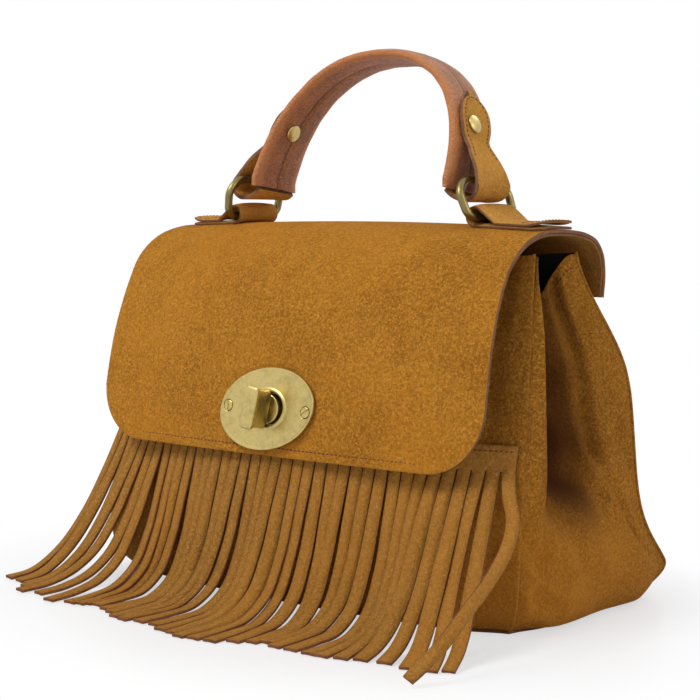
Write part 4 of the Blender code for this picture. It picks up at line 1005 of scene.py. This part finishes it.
def loop_height():
    """Height of the middle of the strap loops."""
    return crest_height(BAR_AT) + GAP + STRAP_SUEDE + STRAP_BORE


def bar_height():
    """Height of the rings' lower bars, on the bottom of their loops."""
    return loop_height() - STRAP_BORE + 0.5 * sizes().ring_wire + GAP


def ring_leans():
    """Lean of the left and right rings, so that the handle's two loops meet them."""
    left_x = -BAR_AT + sizes().ring_height * math.sin(LEFT_RING_LEAN)
    return LEFT_RING_LEAN, math.asin((BAR_AT - left_x - 2.0 * HANDLE_AT) / sizes().ring_height)


def ring_path(side, lean):
    """Rounded rectangle of wire with bowed sides and wider rounds above, leaning about its lower bar."""
    s = sizes()

    def corner(y, z, radius, start):
        turn = math.radians(start) + np.linspace(0.0, 0.5 * math.pi, 16)
        return np.stack([y + radius * np.cos(turn), z + radius * np.sin(turn)], axis=1)

    half, high = s.ring_half_width, s.ring_height
    outline = np.concatenate([
        corner(half - 5 * MM, 5 * MM, 5 * MM, -90), corner(half - 10 * MM, high - 10 * MM, 10 * MM, 0),
        corner(-half + 10 * MM, high - 10 * MM, 10 * MM, 90), corner(-half + 5 * MM, 5 * MM, 5 * MM, 180)])
    outline[:, 0] += np.sign(outline[:, 0]) * 2 * MM * np.sin(math.pi * outline[:, 1] / high)
    outline = even_steps(np.concatenate([outline, outline[:1]]), 121)[:-1]
    x = side * BAR_AT + math.sin(lean) * outline[:, 1]
    return np.stack([x, outline[:, 0], bar_height() + math.cos(lean) * outline[:, 1]], axis=1)


def strap_path(end):
    """Right strap's middle line: along the flap, round the ring's bar and back on top of itself."""
    radius = STRAP_BORE + 0.5 * STRAP_SUEDE
    under = GAP + 0.5 * STRAP_SUEDE
    over = under + STRAP_SUEDE + GAP
    first = np.linspace(end, 93.6 * MM, 16)
    turn = np.radians(np.linspace(-90.0, -315.0, 30))
    back = np.linspace(101.6 * MM, end, 16)
    curl = 1.6 * MM * ease(end - 15 * MM, end + 1 * MM, back) ** 2
    return np.concatenate([
        np.stack([first, crest_height(first) + under], axis=1),
        np.stack([BAR_AT + radius * np.cos(turn), loop_height() + radius * np.sin(turn)], axis=1),
        [(96.2 * MM, loop_height() + 0.6 * MM)],
        np.stack([back, crest_height(back) + over + 0.15 * MM + curl], axis=1)])


def grip_point(angle, offset=0.0):
    """Superellipse arch (x, z) at an angle from its right end, moved out along its normal."""
    base_half = HANDLE_AT - GRIP_CLEARANCE - 0.5 * sizes().grip_thickness
    power = 2.0 / 2.25
    angle = np.asarray(angle, float)

    def arch(t):
        x = base_half * np.sign(np.cos(t)) * np.abs(np.cos(t)) ** power
        return np.stack([x, -6 * MM + 76.5 * MM * np.abs(np.sin(t)) ** power], axis=-1)

    along = unit(arch(np.minimum(angle + 0.002, math.pi)) - arch(np.maximum(angle - 0.002, 0.0)))
    normal = np.stack([along[..., 1], -along[..., 0]], axis=-1)
    return arch(angle) + normal * offset, normal


def lean_back(z):
    """How far back the leaning handle stands at height z over the rings' top bars."""
    return math.tan(HANDLE_LEAN) * np.maximum(z + 1 * MM, 0.0)


def grip_angle_at(height):
    """Angle of the arch where its right leg reaches a height."""
    angles = np.linspace(0.0, 0.5 * math.pi, 400)
    return float(np.interp(height, grip_point(angles)[0][:, 1], angles))


def at_handle(points):
    """Place points of the handle's own frame in the bag: a small turn about Y at the left ring's top."""
    left, right = ring_leans()
    high = sizes().ring_height
    turn = math.asin(high * (math.cos(left) - math.cos(right)) / (2.0 * HANDLE_AT))
    x = points[..., 0] + HANDLE_AT + RING_SEAT
    z = points[..., 2]
    across = -BAR_AT + high * math.sin(left) + x * math.cos(turn) + z * math.sin(turn)
    up = bar_height() + high * math.cos(left) - x * math.sin(turn) + z * math.cos(turn)
    return np.stack([across, points[..., 1], up], axis=-1)


def grip_rings():
    """Grip: a flat rounded section on the arch, with a groove outside and a sewn seam inside."""
    s = sizes()
    half_t = 0.5 * s.grip_thickness
    turn = np.linspace(0.0, 2.0 * math.pi, 96, endpoint=False)
    a = np.sign(np.cos(turn)) * np.abs(np.cos(turn)) ** (2.0 / 3.2)
    b = np.sign(np.sin(turn)) * np.abs(np.sin(turn)) ** (2.0 / 2.6)
    b = b - np.where(b > 0.0, 0.24 * np.exp(-((a / 0.10) ** 2)), -0.20 * np.exp(-((a / 0.05) ** 2)))
    b = b + 0.05 * np.where(b < 0.0, -1.0, 1.0) * np.exp(-(((np.abs(a) - 0.22) / 0.10) ** 2))
    angles = math.pi * np.linspace(0.0, 1.0, 241)
    points, normals = grip_point(angles)
    taper = np.clip((points[:, 1] + 2 * MM) / (50 * MM), 0.0, 1.0)
    half = s.grip_half_width_end + (s.grip_half_width_top - s.grip_half_width_end) * taper
    run = np.cumsum(np.concatenate([[0.0], np.linalg.norm(np.diff(points, axis=0), axis=1)]))
    p = np.broadcast_to(run[:, None], (241, 96))
    q = half[:, None] * a[None, :]
    depth = half_t * b[None, :] + ripples(p, q, 31, 14 * MM, 0.09 * MM)
    x = points[:, :1] + normals[:, :1] * depth
    z = points[:, 1:] + normals[:, 1:] * depth - math.sin(HANDLE_CANT) * q
    y = q + lean_back(points[:, 1])[:, None]
    return np.stack([x, y, z], axis=-1), np.stack([q, p], axis=-1)


def tab_path():
    """Right tab's middle line: from under the grip's end, round the ring and up its outside."""
    x0, half = HANDLE_AT, 0.5 * TAB_SUEDE
    inner = x0 - GRIP_CLEARANCE - sizes().grip_thickness + 0.5 * MM
    down, out = -11 * MM, x0 + 7.2 * MM
    loop = [(inner + half, -7.0 * MM), (inner + 4.2 * MM, 0.85 * down), (x0 - 5 * MM, down),
            (x0 + 1.5 * MM, 0.97 * down), (out - 1.6 * MM, 0.72 * down), (out, -4.5 * MM),
            (out - 2.4 * MM, 2.5 * MM), (out - 6.2 * MM, 8 * MM), (x0 - 5.0 * MM, 15 * MM)]
    angles = np.linspace(grip_angle_at(21 * MM), grip_angle_at(46 * MM), 6)
    seated = grip_point(angles, 0.5 * sizes().grip_thickness + GAP + half)[0]
    return smooth_curve(np.array(loop + [tuple(p) for p in seated]), 130)


def tab_grid(side, inset=0.0):
    """Tab: its middle line widened by a half width that waists above the loop and rounds at the top."""
    path = tab_path()
    height = path[:, 1]
    halves = 13 * MM + 2 * MM * ease(8 * MM, -6 * MM, height)
    halves = halves - 2.5 * MM * np.exp(-(((height - 19 * MM) / (5.5 * MM)) ** 2))
    top = np.clip((height - (33 * MM)) / (13 * MM), 0.0, 0.985)
    halves = halves * np.sqrt(1.0 - top**2) - inset
    cant = ease(-2 * MM, 14 * MM, height) + ease(24.0, 0.0, np.arange(len(height)))
    across = np.linspace(-1.0, 1.0, 13)[None, :]
    x = np.broadcast_to(side * path[:, :1], (len(path), 13))
    y = lean_back(height)[:, None] + across * halves[:, None]
    z = height[:, None] - across * (math.sin(HANDLE_CANT) * halves * cant)[:, None]
    return at_handle(np.stack([x, y, z], axis=-1))


def rivet_axes(side):
    """Origin, across, up and out directions of a rivet in the bag."""
    angle = grip_angle_at(28 * MM)
    point, normal = grip_point(angle)
    across = unit(np.array([0.0, 1.0, -math.sin(HANDLE_CANT)]))
    along = np.array([-side * normal[1], math.tan(HANDLE_LEAN) * normal[0], normal[0]])
    out = unit(np.cross(across, along))
    out = out * (1.0 if out @ np.array([side * normal[0], 0.0, normal[1]]) > 0.0 else -1.0)
    up = np.cross(out, across)
    origin = np.array([side * point[0], float(lean_back(point[1])), point[1]]) - 3 * MM * across
    return origin, across, up, out


def turned_rings(profile, count=48):
    """Turn a profile of (radius, height) about the z axis."""
    profile = np.array(profile, float)
    turn = np.linspace(0.0, 2.0 * math.pi, count, endpoint=False)
    return np.stack(np.broadcast_arrays(profile[:, :1] * np.cos(turn), profile[:, :1] * np.sin(turn),
                                        profile[:, 1:]), axis=-1)


# Operators

class BAG_OT_walls(bpy.types.Operator):
    """Make the front, the back, the base and the lining"""
    bl_idname = "bag.walls"
    bl_label = "Walls and lining"

    def execute(self, context):
        cloths = [finish("body"), finish("edge"), finish("lining")]
        self.wall("front_wall", front_wall(), cloths, "front_panel", "stretched", ["base"])
        self.wall("back_wall", back_wall(), cloths, "back_panel", "stretched", ["base"], flip=True)
        self.wall("base", base_grid(), cloths[:2], "base_panel", "laid", [])
        self.line()
        return {"FINISHED"}

    def wall(self, name, grid, cloths, node, held, rests_on, flip=False):
        """Make one wall as a sheet of suede."""
        item = dress(add_sheet(name, grid, SUEDE, 0.0, cloths, flip=flip), "bag", "suede", node)
        declare_sheet(grid)

    def line(self):
        """Make the lining as a pouch with a flat bottom."""
        rings = lining_rings()
        rows, columns = rings.shape[:2]
        points = np.concatenate([rings.reshape(-1, 3), rings[:1].mean(axis=1)])
        around = np.arange(columns)
        fan = np.stack([np.full(columns, rows * columns), (around + 1) % columns, around], axis=1)
        pouch = add_mesh("lining_pouch", points, [grid_quads(rows, columns, closed_columns=True), fan])
        pouch.data.materials.append(finish("lining"))
        solid = pouch.modifiers.new("thickness", "SOLIDIFY")
        solid.thickness = LINING_CLOTH
        solid.offset = -1.0
        dress(pouch, "bag", "lining_cloth", "lining")
        closed = np.concatenate([rings, rings[:, :1]], axis=1)
        spokes = closed[0] - points[-1]
        bottom = 0.5 * float(np.linalg.norm(np.cross(spokes[:-1], spokes[1:]), axis=-1).sum())
        patch_area(closed) + bottom


class BAG_OT_gussets(bpy.types.Operator):
    """Make the folded gussets, the stitching along their hems and the body's seams"""
    bl_idname = "bag.gussets"
    bl_label = "Gussets"

    def execute(self, context):
        cloths = [finish("body"), finish("edge"), finish("lining")]
        for side, word in ((1, "right"), (-1, "left")):
            # The gusset's painted shade mask goes onto its mesh as an attribute.
            grid, recess = gusset_wall(side)
            item = add_sheet("side_gusset_" + word, grid, SUEDE, 0.0, cloths, flip=side < 0, recess=recess)
            dress(item, "bag", "suede", "gusset_" + word)
            declare_sheet(grid)
            normal = grid_normals(grid, side < 0)
            hem = (grid[-5, 40:-4], normal[-5, 40:-4])
            pressed = (grid[104:-5, 99], normal[104:-5, 99])
            dress(add_stitches("hem_stitches_" + word, [hem, pressed], finish("thread")), "bag", "suede")
        self.seams()
        return {"FINISHED"}

    def seams(self):
        """Make the rolled seams where the walls meet the gussets."""
        z = np.linspace(SUEDE + GAP, BODY_TOP, 90)
        for side, word in ((1.0, "right"), (-1.0, "left")):
            for surface, name, push in ((front_surface, "front", 1.0), (back_surface, "back", -1.0)):
                path = surface(np.full(90, side), z) + (-side * 0.5 * MM, push * 0.9 * MM, 0.0)
                wire = add_wire("seam_" + name + "_" + word, settled(path), SEAM_RADIUS, finish("body"),
                                up=(0.0, 1.0, 0.0))
                dress(wire, "bag", "suede")


class BAG_OT_fringe(bpy.types.Operator):
    """Make the fringe and the stitching along its band"""
    bl_idname = "bag.fringe"
    bl_label = "Fringe"

    def execute(self, context):
        s = sizes()
        grid, keep = fringe_grid()
        item = add_sheet("fringe", grid, STRIP_SUEDE, 0.0, [finish("fringe"), finish("fringe_edge")],
                         flip=True, keep=keep, rounded=False)
        dress(item, "bag", "fringe_suede", "fringe_panel")
        strips = grid[BAND_ROWS - 1:].reshape(-1, s.strip_count, 3, 3)
        sewn_band = grid[:BAND_ROWS]
        area = patch_area(sewn_band) + sum(patch_area(strips[:, i]) for i in range(s.strip_count))
        columns = np.linspace(-1.0, 1.0, 240) * (float(seam_half_width(s.fringe_top)) - 4 * MM)
        rows = fringe_band(columns, 14)
        sewn = (rows[3], grid_normals(rows, True)[3])
        dress(add_stitches("fringe_stitches", [sewn], finish("thread")), "bag", "fringe_suede")
        return {"FINISHED"}


class BAG_OT_flap(bpy.types.Operator):
    """Make the flap, its facing and the stitching round them"""
    bl_idname = "bag.flap"
    bl_label = "Flap"

    def execute(self, context):
        outer = flap_grid(190, 90, 0.0, FLAP_SLACK)
        under = flap_grid(190, 90, FACING_INSET, FLAP_SLACK)
        item = add_sheet("flap_face", outer, FLAP_SUEDE, 0.0, [finish("suede"), finish("edge")],
                         flip=True, keep=self.around_lock(outer))
        dress(item, "bag", "suede", "flap")
        declare_sheet(outer)
        item = add_sheet("flap_back", under, FACING_SUEDE, FLAP_SUEDE + GAP,
                         [finish("facing"), finish("edge")], flip=True, keep=self.around_lock(under))
        dress(item, "bag", "facing_suede", "flap_facing")
        declare_sheet(under)
        sewn = flap_grid(400, 120, sizes().stitch_inset, FLAP_SLACK)
        normal = grid_normals(sewn, True)
        border = np.concatenate([sewn[:, 0], sewn[-1], sewn[::-1, -1]])
        facing = np.concatenate([normal[:, 0], normal[-1], normal[::-1, -1]])
        runs = [(border, facing), (sewn[0], normal[0])]
        dress(add_stitches("flap_stitches", runs, finish("thread")), "bag", "suede")
        return {"FINISHED"}

    def around_lock(self, grid):
        """Cells that stay: those outside an oval behind the lock's plate."""
        origin, across, up, out = lock_axes()
        middle = 0.25 * (grid[1:, 1:] + grid[:-1, 1:] + grid[1:, :-1] + grid[:-1, :-1]) - origin
        inside = (middle @ across / (17 * MM)) ** 2 + (middle @ up / (14 * MM)) ** 2 < 1.0
        return ~(inside & (np.abs(middle @ out) < 12 * MM))


class BAG_OT_lock(bpy.types.Operator):
    """Make the lock's plate, screws, boss and knob"""
    bl_idname = "bag.lock"
    bl_label = "Turn lock"

    def execute(self, context):
        low = POST_FACE - 1.6 * MM
        self.brass("plate", self.plate(PLATE_FACE), "bag", "lock_plate", closed_rows=True)
        for x, word, turn in ((-SCREW_AT, "left", 95.0), (SCREW_AT, "right", 35.0)):
            head = self.screw(PLATE_FACE, math.radians(turn)) + (x, 0.0, 0.0)
            self.brass("screw_" + word, head, "bag", "lock_screw_" + word)
        self.brass("boss", self.boss(PLATE_FACE, low), "bag", "lock_base", closed_rows=True, flip=True)
        self.brass("turn_knob", self.turned(self.knob(PLATE_FACE, low), -8.0), "knob", "lock_knob")
        for node in ("lock_back_plate", "lock_washer"):
            for place in bpy.data.objects[node].material_slots:
                place.material = finish("dark_brass")
        return {"FINISHED"}

    def brass(self, name, rings, body, node, **ways):
        """Make one brass piece from rings in the lock's own frame."""
        dress(add_loft(name, at_lock(rings), finish("brass"), **ways), body, "antique_brass", node)

    def boss(self, face, low):
        """Boss: an oval foot behind the flap and a round collar that the knob's spindle turns in."""
        rows = [(3.9, low + 1.3 * MM), (3.9, low), (20.0, low), (20.0, POST_FACE), (8.4, POST_FACE),
                (8.4, face - 1.0 * MM), (8.1, face - 0.5 * MM), (7.6, face - 0.3 * MM),
                (2.8, face - 0.3 * MM), (2.8, low + 1.3 * MM)]
        rings = turned_rings([(r * MM, h) for r, h in rows], 72)
        rings[2:4, :, 1] *= 9.4 / 20.0
        return rings

    def plate(self, face):
        """Plate: a closed profile carried round an oval, with two round seats pressed in for the screws."""
        a, b = sizes().plate_half_width, sizes().plate_half_height
        sa, sb, back = 12.6 * MM, 9.6 * MM, 0.5 * MM
        rim = [(0.8, back), (0.0, back + 0.4 * MM), (0.0, face - 0.3 * MM), (0.25, face + 0.15 * MM),
               (0.7, face + 0.25 * MM), (1.3, face + 0.15 * MM), (1.8, face)]
        rows = [(sa, sb, back)] + [(a - inset * MM, b - inset * MM, height) for inset, height in rim]
        wide, tall = a - 1.8 * MM, b - 1.8 * MM
        rows += [(wide + (sa + 2.2 * MM - wide) * t, tall + (sb + 2.2 * MM - tall) * t, face)
                 for t in np.linspace(0.0, 1.0, 70)[1:]]
        rows += [(sa + out * MM, sb + out * MM, face + height * MM)
                 for out, height in ((1.6, 0.45), (0.9, 0.75), (0.3, 0.6), (0.0, 0.2))]
        rings = self.turned(np.stack([oval(*row, 288) for row in rows]), 10.0)
        for x in (-SCREW_AT, SCREW_AT):
            away = np.hypot(rings[8:78, :, 0] - x, rings[8:78, :, 1])
            rings[8:78, :, 2] -= 0.8 * MM * ease(3.5 * MM, 3.1 * MM, away)
        return rings[::-1][:, ::-1]

    def turned(self, rings, degrees):
        """Turn rings about the lock's own axis."""
        c, s = math.cos(math.radians(degrees)), math.sin(math.radians(degrees))
        x, y = rings[..., 0], rings[..., 1]
        return np.stack([x * c - y * s, x * s + y * c, rings[..., 2]], axis=-1)

    def screw(self, face, turn):
        """Screw: a turned shank and head whose face is pressed in along a slot."""
        low = -4.3 * MM
        profile = [(1.4, low), (1.4, face - 0.6 * MM), (2.85, face - 0.6 * MM), (2.9, face - 0.1 * MM),
                   (2.75, face + 0.02 * MM)]
        profile += [(r, face + 0.05 * MM) for r in np.linspace(2.6, 0.02, 24)]
        rings = turned_rings([(r * MM, h) for r, h in profile], 72)
        across = np.abs(rings[..., 0] * math.sin(turn) - rings[..., 1] * math.cos(turn))
        rings[4:, :, 2] -= 0.55 * MM * ease(0.55 * MM, 0.32 * MM, across[4:])
        return rings

    def knob(self, face, low):
        """Knob: round foot and spindle, then a waisted bar whose section is a squared superellipse."""
        start, a, b = face + 1.5 * MM, 4.6 * MM, 11.5 * MM
        rows = [(3.6 * MM, 3.6 * MM, low + 0.2 * MM, 2.0), (3.6 * MM, 3.6 * MM, low + 1.0 * MM, 2.0),
                (2.5 * MM, 2.5 * MM, low + 1.0 * MM, 2.0), (2.5 * MM, 2.5 * MM, face, 2.0),
                (a - 1.2 * MM, b - 4 * MM, start, 3.0), (a - 0.5 * MM, b - 1.6 * MM, start + 0.5 * MM, 5.0),
                (a - 0.3 * MM, b - 0.8 * MM, start + 1.4 * MM, 6.5),
                (a - 0.6 * MM, b - 1.3 * MM, start + 4.5 * MM, 7.0),
                (a - 0.4 * MM, b - 0.9 * MM, start + 9.0 * MM, 7.0), (a, b, start + 11.6 * MM, 7.0),
                (a - 0.05 * MM, b, start + 12.1 * MM, 7.0),
                (a - 0.4 * MM, b - 0.4 * MM, start + 12.6 * MM, 6.5),
                (a - 1.0 * MM, b - 1.0 * MM, start + 12.8 * MM, 6.0),
                (0.4 * a, 0.6 * b, start + 12.8 * MM, 5.0)]
        return np.stack([oval(p, q, h, 96, power) for p, q, h, power in rows])


class BAG_OT_rings(bpy.types.Operator):
    """Make the two wire rings and the straps that hold them"""
    bl_idname = "bag.rings"
    bl_label = "Rings and straps"

    def execute(self, context):
        leans = ring_leans()
        for side, word, lean in ((-1, "left", leans[0]), (1, "right", -leans[1])):
            wire = add_wire("wire_ring_" + word, ring_path(side, lean), 0.5 * sizes().ring_wire,
                            finish("dark_brass"), closed=True, sides=24, up=(1.0, 0.0, 0.0))
            dress(wire, word + "_ring", "antique_brass", "ring_" + word)
            self.strap(side, word)
        return {"FINISHED"}

    def strap(self, side, word):
        """Make one folded strap and its stitches."""
        end = (124 if side < 0 else 131) * MM
        path = strap_path(end)
        round_off = np.sqrt(1.0 - np.clip((path[:, :1] - end + 6 * MM) / (6 * MM), 0.0, 0.8) ** 2)
        half = sizes().strap_half_width * (0.62 + 0.38 * round_off)
        y = np.linspace(-1.0, 1.0, 25)[None, :] * half
        crest = flap_profile()[::-1]
        crest = crest[crest[:, 1] > BODY_TOP]
        droop = np.interp(y, crest[:, 0], crest[:, 1]) - crest[:, 1].max()
        grid = np.stack(np.broadcast_arrays(side * path[:, None, 0], y, path[:, None, 1] + droop), axis=-1)
        item = add_sheet("strap_" + word, grid, STRAP_SUEDE, -0.5 * STRAP_SUEDE,
                         [finish("tab"), finish("edge")], flip=side > 0)
        dress(item, "bag", "suede", "base_tab_" + word)
        declare_sheet(grid)
        top = grid[-8:] + (0.0, 0.0, 0.5 * STRAP_SUEDE)
        up = np.broadcast_to([0.0, 0.0, 1.0], top.shape)
        runs = [(top[:, 2], up[:, 2]), (top[:, -3], up[:, 2]), (top[-2, 2:-2], up[0, 2:-2]),
                (top[0, 2:-2], up[0, 2:-2])]
        dress(add_stitches("strap_stitches_" + word, runs, finish("thread")), "bag", "suede")


class BAG_OT_handle(bpy.types.Operator):
    """Make the grip, its tabs and its rivets"""
    bl_idname = "bag.handle"
    bl_label = "Handle"

    def execute(self, context):
        rings, uv = grip_rings()
        grip = add_loft("grip", at_handle(rings), finish("leather"))
        layer = grip.data.uv_layers.new(name="Cloth")
        corner = np.zeros(len(grip.data.loops), np.int32)
        grip.data.loops.foreach_get("vertex_index", corner)
        flat = np.concatenate([uv.reshape(-1, 2), np.zeros((2, 2))])
        layer.data.foreach_set("uv", flat[corner].astype(np.float32).ravel())
        dress(grip, "handle", "smooth_leather", "handle_grip")
        for side, word in ((1, "right"), (-1, "left")):
            grid = tab_grid(side)
            item = add_sheet("tab_" + word, grid, TAB_SUEDE, -0.5 * TAB_SUEDE,
                             [finish("tab"), finish("edge")], flip=side < 0)
            dress(item, "handle", "suede", "handle_tab_" + word)
            declare_sheet(grid)
            self.sew(side, word)
            self.rivet(side, word)
        return {"FINISHED"}

    def sew(self, side, word):
        """Make the stitches round the upper part of a tab."""
        grid = tab_grid(side, 2.6 * MM)[64:123]
        normal = grid_normals(grid, side < 0)
        lift = normal * (0.5 * TAB_SUEDE + 0.05 * MM)
        sewn = grid + lift
        runs = [(sewn[:, 0], normal[:, 0]), (sewn[:, -1], normal[:, -1]), (sewn[-1], normal[-1])]
        dress(add_stitches("tab_stitches_" + word, runs, finish("thread")), "handle", "suede")

    def rivet(self, side, word):
        """Make the two caps of a rivet: turned domes with a small rolled edge."""
        origin, across, up, out = rivet_axes(side)
        r = sizes().rivet_radius
        outer = 0.5 * sizes().grip_thickness + TAB_SUEDE + 3.2 * GAP
        inner = -0.5 * sizes().grip_thickness - GAP
        dome = [(0.0, 1.7), (0.25, 1.66), (0.5, 1.5), (0.7, 1.25), (0.84, 0.98), (0.93, 0.75),
                (0.985, 0.5), (1.0, 0.25), (0.99, 0.0)]
        cap = [(max(a * r, 0.02 * MM), outer + h * MM) for a, h in dome]
        cap += [(1.5 * MM, outer), (1.5 * MM, inner + GAP), (0.02 * MM, inner + GAP)]
        back = [(0.02 * MM, inner)]
        back += [(max(a * r, 0.02 * MM), inner - h * MM) for a, h in reversed(dome)]
        for name, profile, node in (("rivet_cap_", cap, "rivet_"), ("rivet_inner_cap_", back, "rivet_back_")):
            rings = turned_rings(profile, 48)
            placed = origin + rings[..., :1] * across + rings[..., 1:2] * up + rings[..., 2:] * out
            item = add_loft(name + word, at_handle(placed), finish("brass"), flip=True)
            dress(item, "handle", "antique_brass", node + word)


class BAG_OT_stage(bpy.types.Operator):
    """Make the floor, the world, the lamps and the camera"""
    bl_idname = "bag.stage"
    bl_label = "Floor, light and camera"

    def execute(self, context):
        self.floor()
        self.world(context.scene)
        self.lamp("key", (-0.55, -1.25, 1.85), 0.9, 27.0)
        self.lamp("side", (2.0, 0.35, 1.1), 0.9, 9.0)
        self.lamp("back", (0.2, 1.7, 1.5), 1.0, 8.0)
        self.camera(context.scene)
        context.scene.view_settings.view_transform = "Standard"
        return {"FINISHED"}

    def floor(self):
        """Make a pale floor that fades to plain white away from the bag."""
        r = np.array([0.001, 0.2, 0.35, 0.5, 0.7, 0.9, 1.2, 1.8, 3.0])
        turn = np.linspace(0.0, 2.0 * math.pi, 64, endpoint=False)
        rings = np.stack(np.broadcast_arrays(r[:, None] * np.cos(turn), r[:, None] * np.sin(turn),
                                             0.0 * r[:, None]), axis=-1)
        points = np.concatenate([rings.reshape(-1, 3), [(0.0, 0.0, 0.0)]])
        around = np.arange(64)
        fan = np.stack([np.full(64, len(points) - 1), around, (around + 1) % 64], axis=1)
        floor = add_mesh("floor", points, [grid_quads(9, 64, closed_columns=True, flip=True), fan])
        made = Finish("white floor", 0.35)
        made.shader.inputs["Base Color"].default_value = (0.93, 0.93, 0.94, 1.0)
        made.shader.inputs["Specular IOR Level"].default_value = 0.35
        here = made.node("ShaderNodeTexCoord", output="Object")
        place = made.node("ShaderNodeMapping", None,
                          {"Vector": here, "Location": (0.0, 0.21, 0.0), "Scale": (5.3, 7.1, 1.0)})
        away = made.node("ShaderNodeVectorMath", {"operation": "LENGTH"}, {0: place}, output="Value")
        seen = made.node("ShaderNodeLightPath", output="Is Camera Ray")
        white = made.tree.nodes.new("ShaderNodeEmission")
        white.inputs["Color"].default_value = (1.0, 1.0, 1.0, 1.0)
        blend = made.tree.nodes.new("ShaderNodeMixShader")
        share = (away.ramp(0.95, 1.60) * 0.40 + 0.60) * seen
        made.tree.links.new(share.socket, blend.inputs[0])
        made.tree.links.new(made.shader.outputs[0], blend.inputs[1])
        made.tree.links.new(white.outputs[0], blend.inputs[2])
        made.tree.links.new(blend.outputs[0], made.tree.nodes["Material Output"].inputs["Surface"])
        floor.data.materials.append(made.material)

    def world(self, scene):
        """White background for the camera and reflections, a softer grey for the light."""
        world = bpy.data.worlds.new("studio")
        scene.world = world
        world.use_nodes = True
        tree = world.node_tree
        shade = tree.nodes["Background"]
        path = tree.nodes.new("ShaderNodeLightPath")
        most = tree.nodes.new("ShaderNodeMath")
        most.operation = "MAXIMUM"
        tree.links.new(path.outputs["Is Camera Ray"], most.inputs[0])
        tree.links.new(path.outputs["Is Glossy Ray"], most.inputs[1])
        blend = tree.nodes.new("ShaderNodeMix")
        blend.data_type = "RGBA"
        blend.inputs[6].default_value = (0.40, 0.40, 0.41, 1.0)
        blend.inputs[7].default_value = (1.0, 1.0, 1.0, 1.0)
        tree.links.new(most.outputs[0], blend.inputs[0])
        tree.links.new(blend.outputs[2], shade.inputs["Color"])
        shade.inputs["Strength"].default_value = 1.0

    def lamp(self, name, place, size, power):
        """Make a square lamp that points at the bag's middle."""
        data = bpy.data.lights.new(name, "AREA")
        data.size = size
        data.energy = power
        item = bpy.data.objects.new(name, data)
        item.location = place
        towards = Vector((0.0, 0.0, 0.12)) - Vector(place)
        item.rotation_euler = towards.to_track_quat("-Z", "Y").to_euler()
        bpy.context.scene.collection.objects.link(item)

    def camera(self, scene):
        """Make the camera at the photograph's angle, distance and lens."""
        azimuth, elevation, distance = math.radians(39.77), math.radians(4.92), 1.05354
        away = Vector((math.sin(azimuth) * math.cos(elevation), -math.cos(azimuth) * math.cos(elevation),
                       math.sin(elevation)))
        data = bpy.data.cameras.new("camera")
        data.sensor_width = 36.0
        data.lens = 1808.31 / 700.0 * 36.0
        item = bpy.data.objects.new("camera", data)
        item.location = Vector((-0.01178, 0.0, 0.13497)) + away * distance
        item.rotation_euler = (-away).to_track_quat("-Z", "Y").to_euler()
        scene.collection.objects.link(item)
        scene.camera = item


class BAG_PT_panel(bpy.types.Panel):
    """Lists the bag's pieces, sizes and colours"""
    bl_idname = "BAG_PT_panel"
    bl_label = "Fringed bag"
    bl_space_type = "VIEW_3D"
    bl_region_type = "UI"
    bl_category = "Fringed bag"

    def draw(self, context):
        for operator in OPERATORS:
            self.layout.operator(operator.bl_idname)
        for group in (context.scene.bag_sizes, context.scene.bag_colours):
            box = self.layout.box()
            for key in group.bl_rna.properties.keys():
                if key not in ("rna_type", "name"):
                    box.prop(group, key)


OPERATORS = (BAG_OT_walls, BAG_OT_gussets, BAG_OT_fringe, BAG_OT_flap, BAG_OT_lock, BAG_OT_rings,
             BAG_OT_handle, BAG_OT_stage)
CLASSES = (BagSizes, BagColours, *OPERATORS, BAG_PT_panel)


def register():
    """Register the classes and hang the two groups on the scene."""
    for made in CLASSES:
        bpy.utils.register_class(made)
    bpy.types.Scene.bag_sizes = bpy.props.PointerProperty(type=BagSizes)
    bpy.types.Scene.bag_colours = bpy.props.PointerProperty(type=BagColours)


def unregister():
    """Take the groups and classes away again."""
    del bpy.types.Scene.bag_colours
    del bpy.types.Scene.bag_sizes
    for made in reversed(CLASSES):
        bpy.utils.unregister_class(made)


def main():
    """Make every piece in order."""
    register()
    bpy.ops.bag.walls()
    bpy.ops.bag.gussets()
    bpy.ops.bag.fringe()
    bpy.ops.bag.flap()
    bpy.ops.bag.lock()
    bpy.ops.bag.rings()
    bpy.ops.bag.handle()
    bpy.ops.bag.stage()
    bpy.context.view_layer.update()


if __name__ == "__main__":
    main()
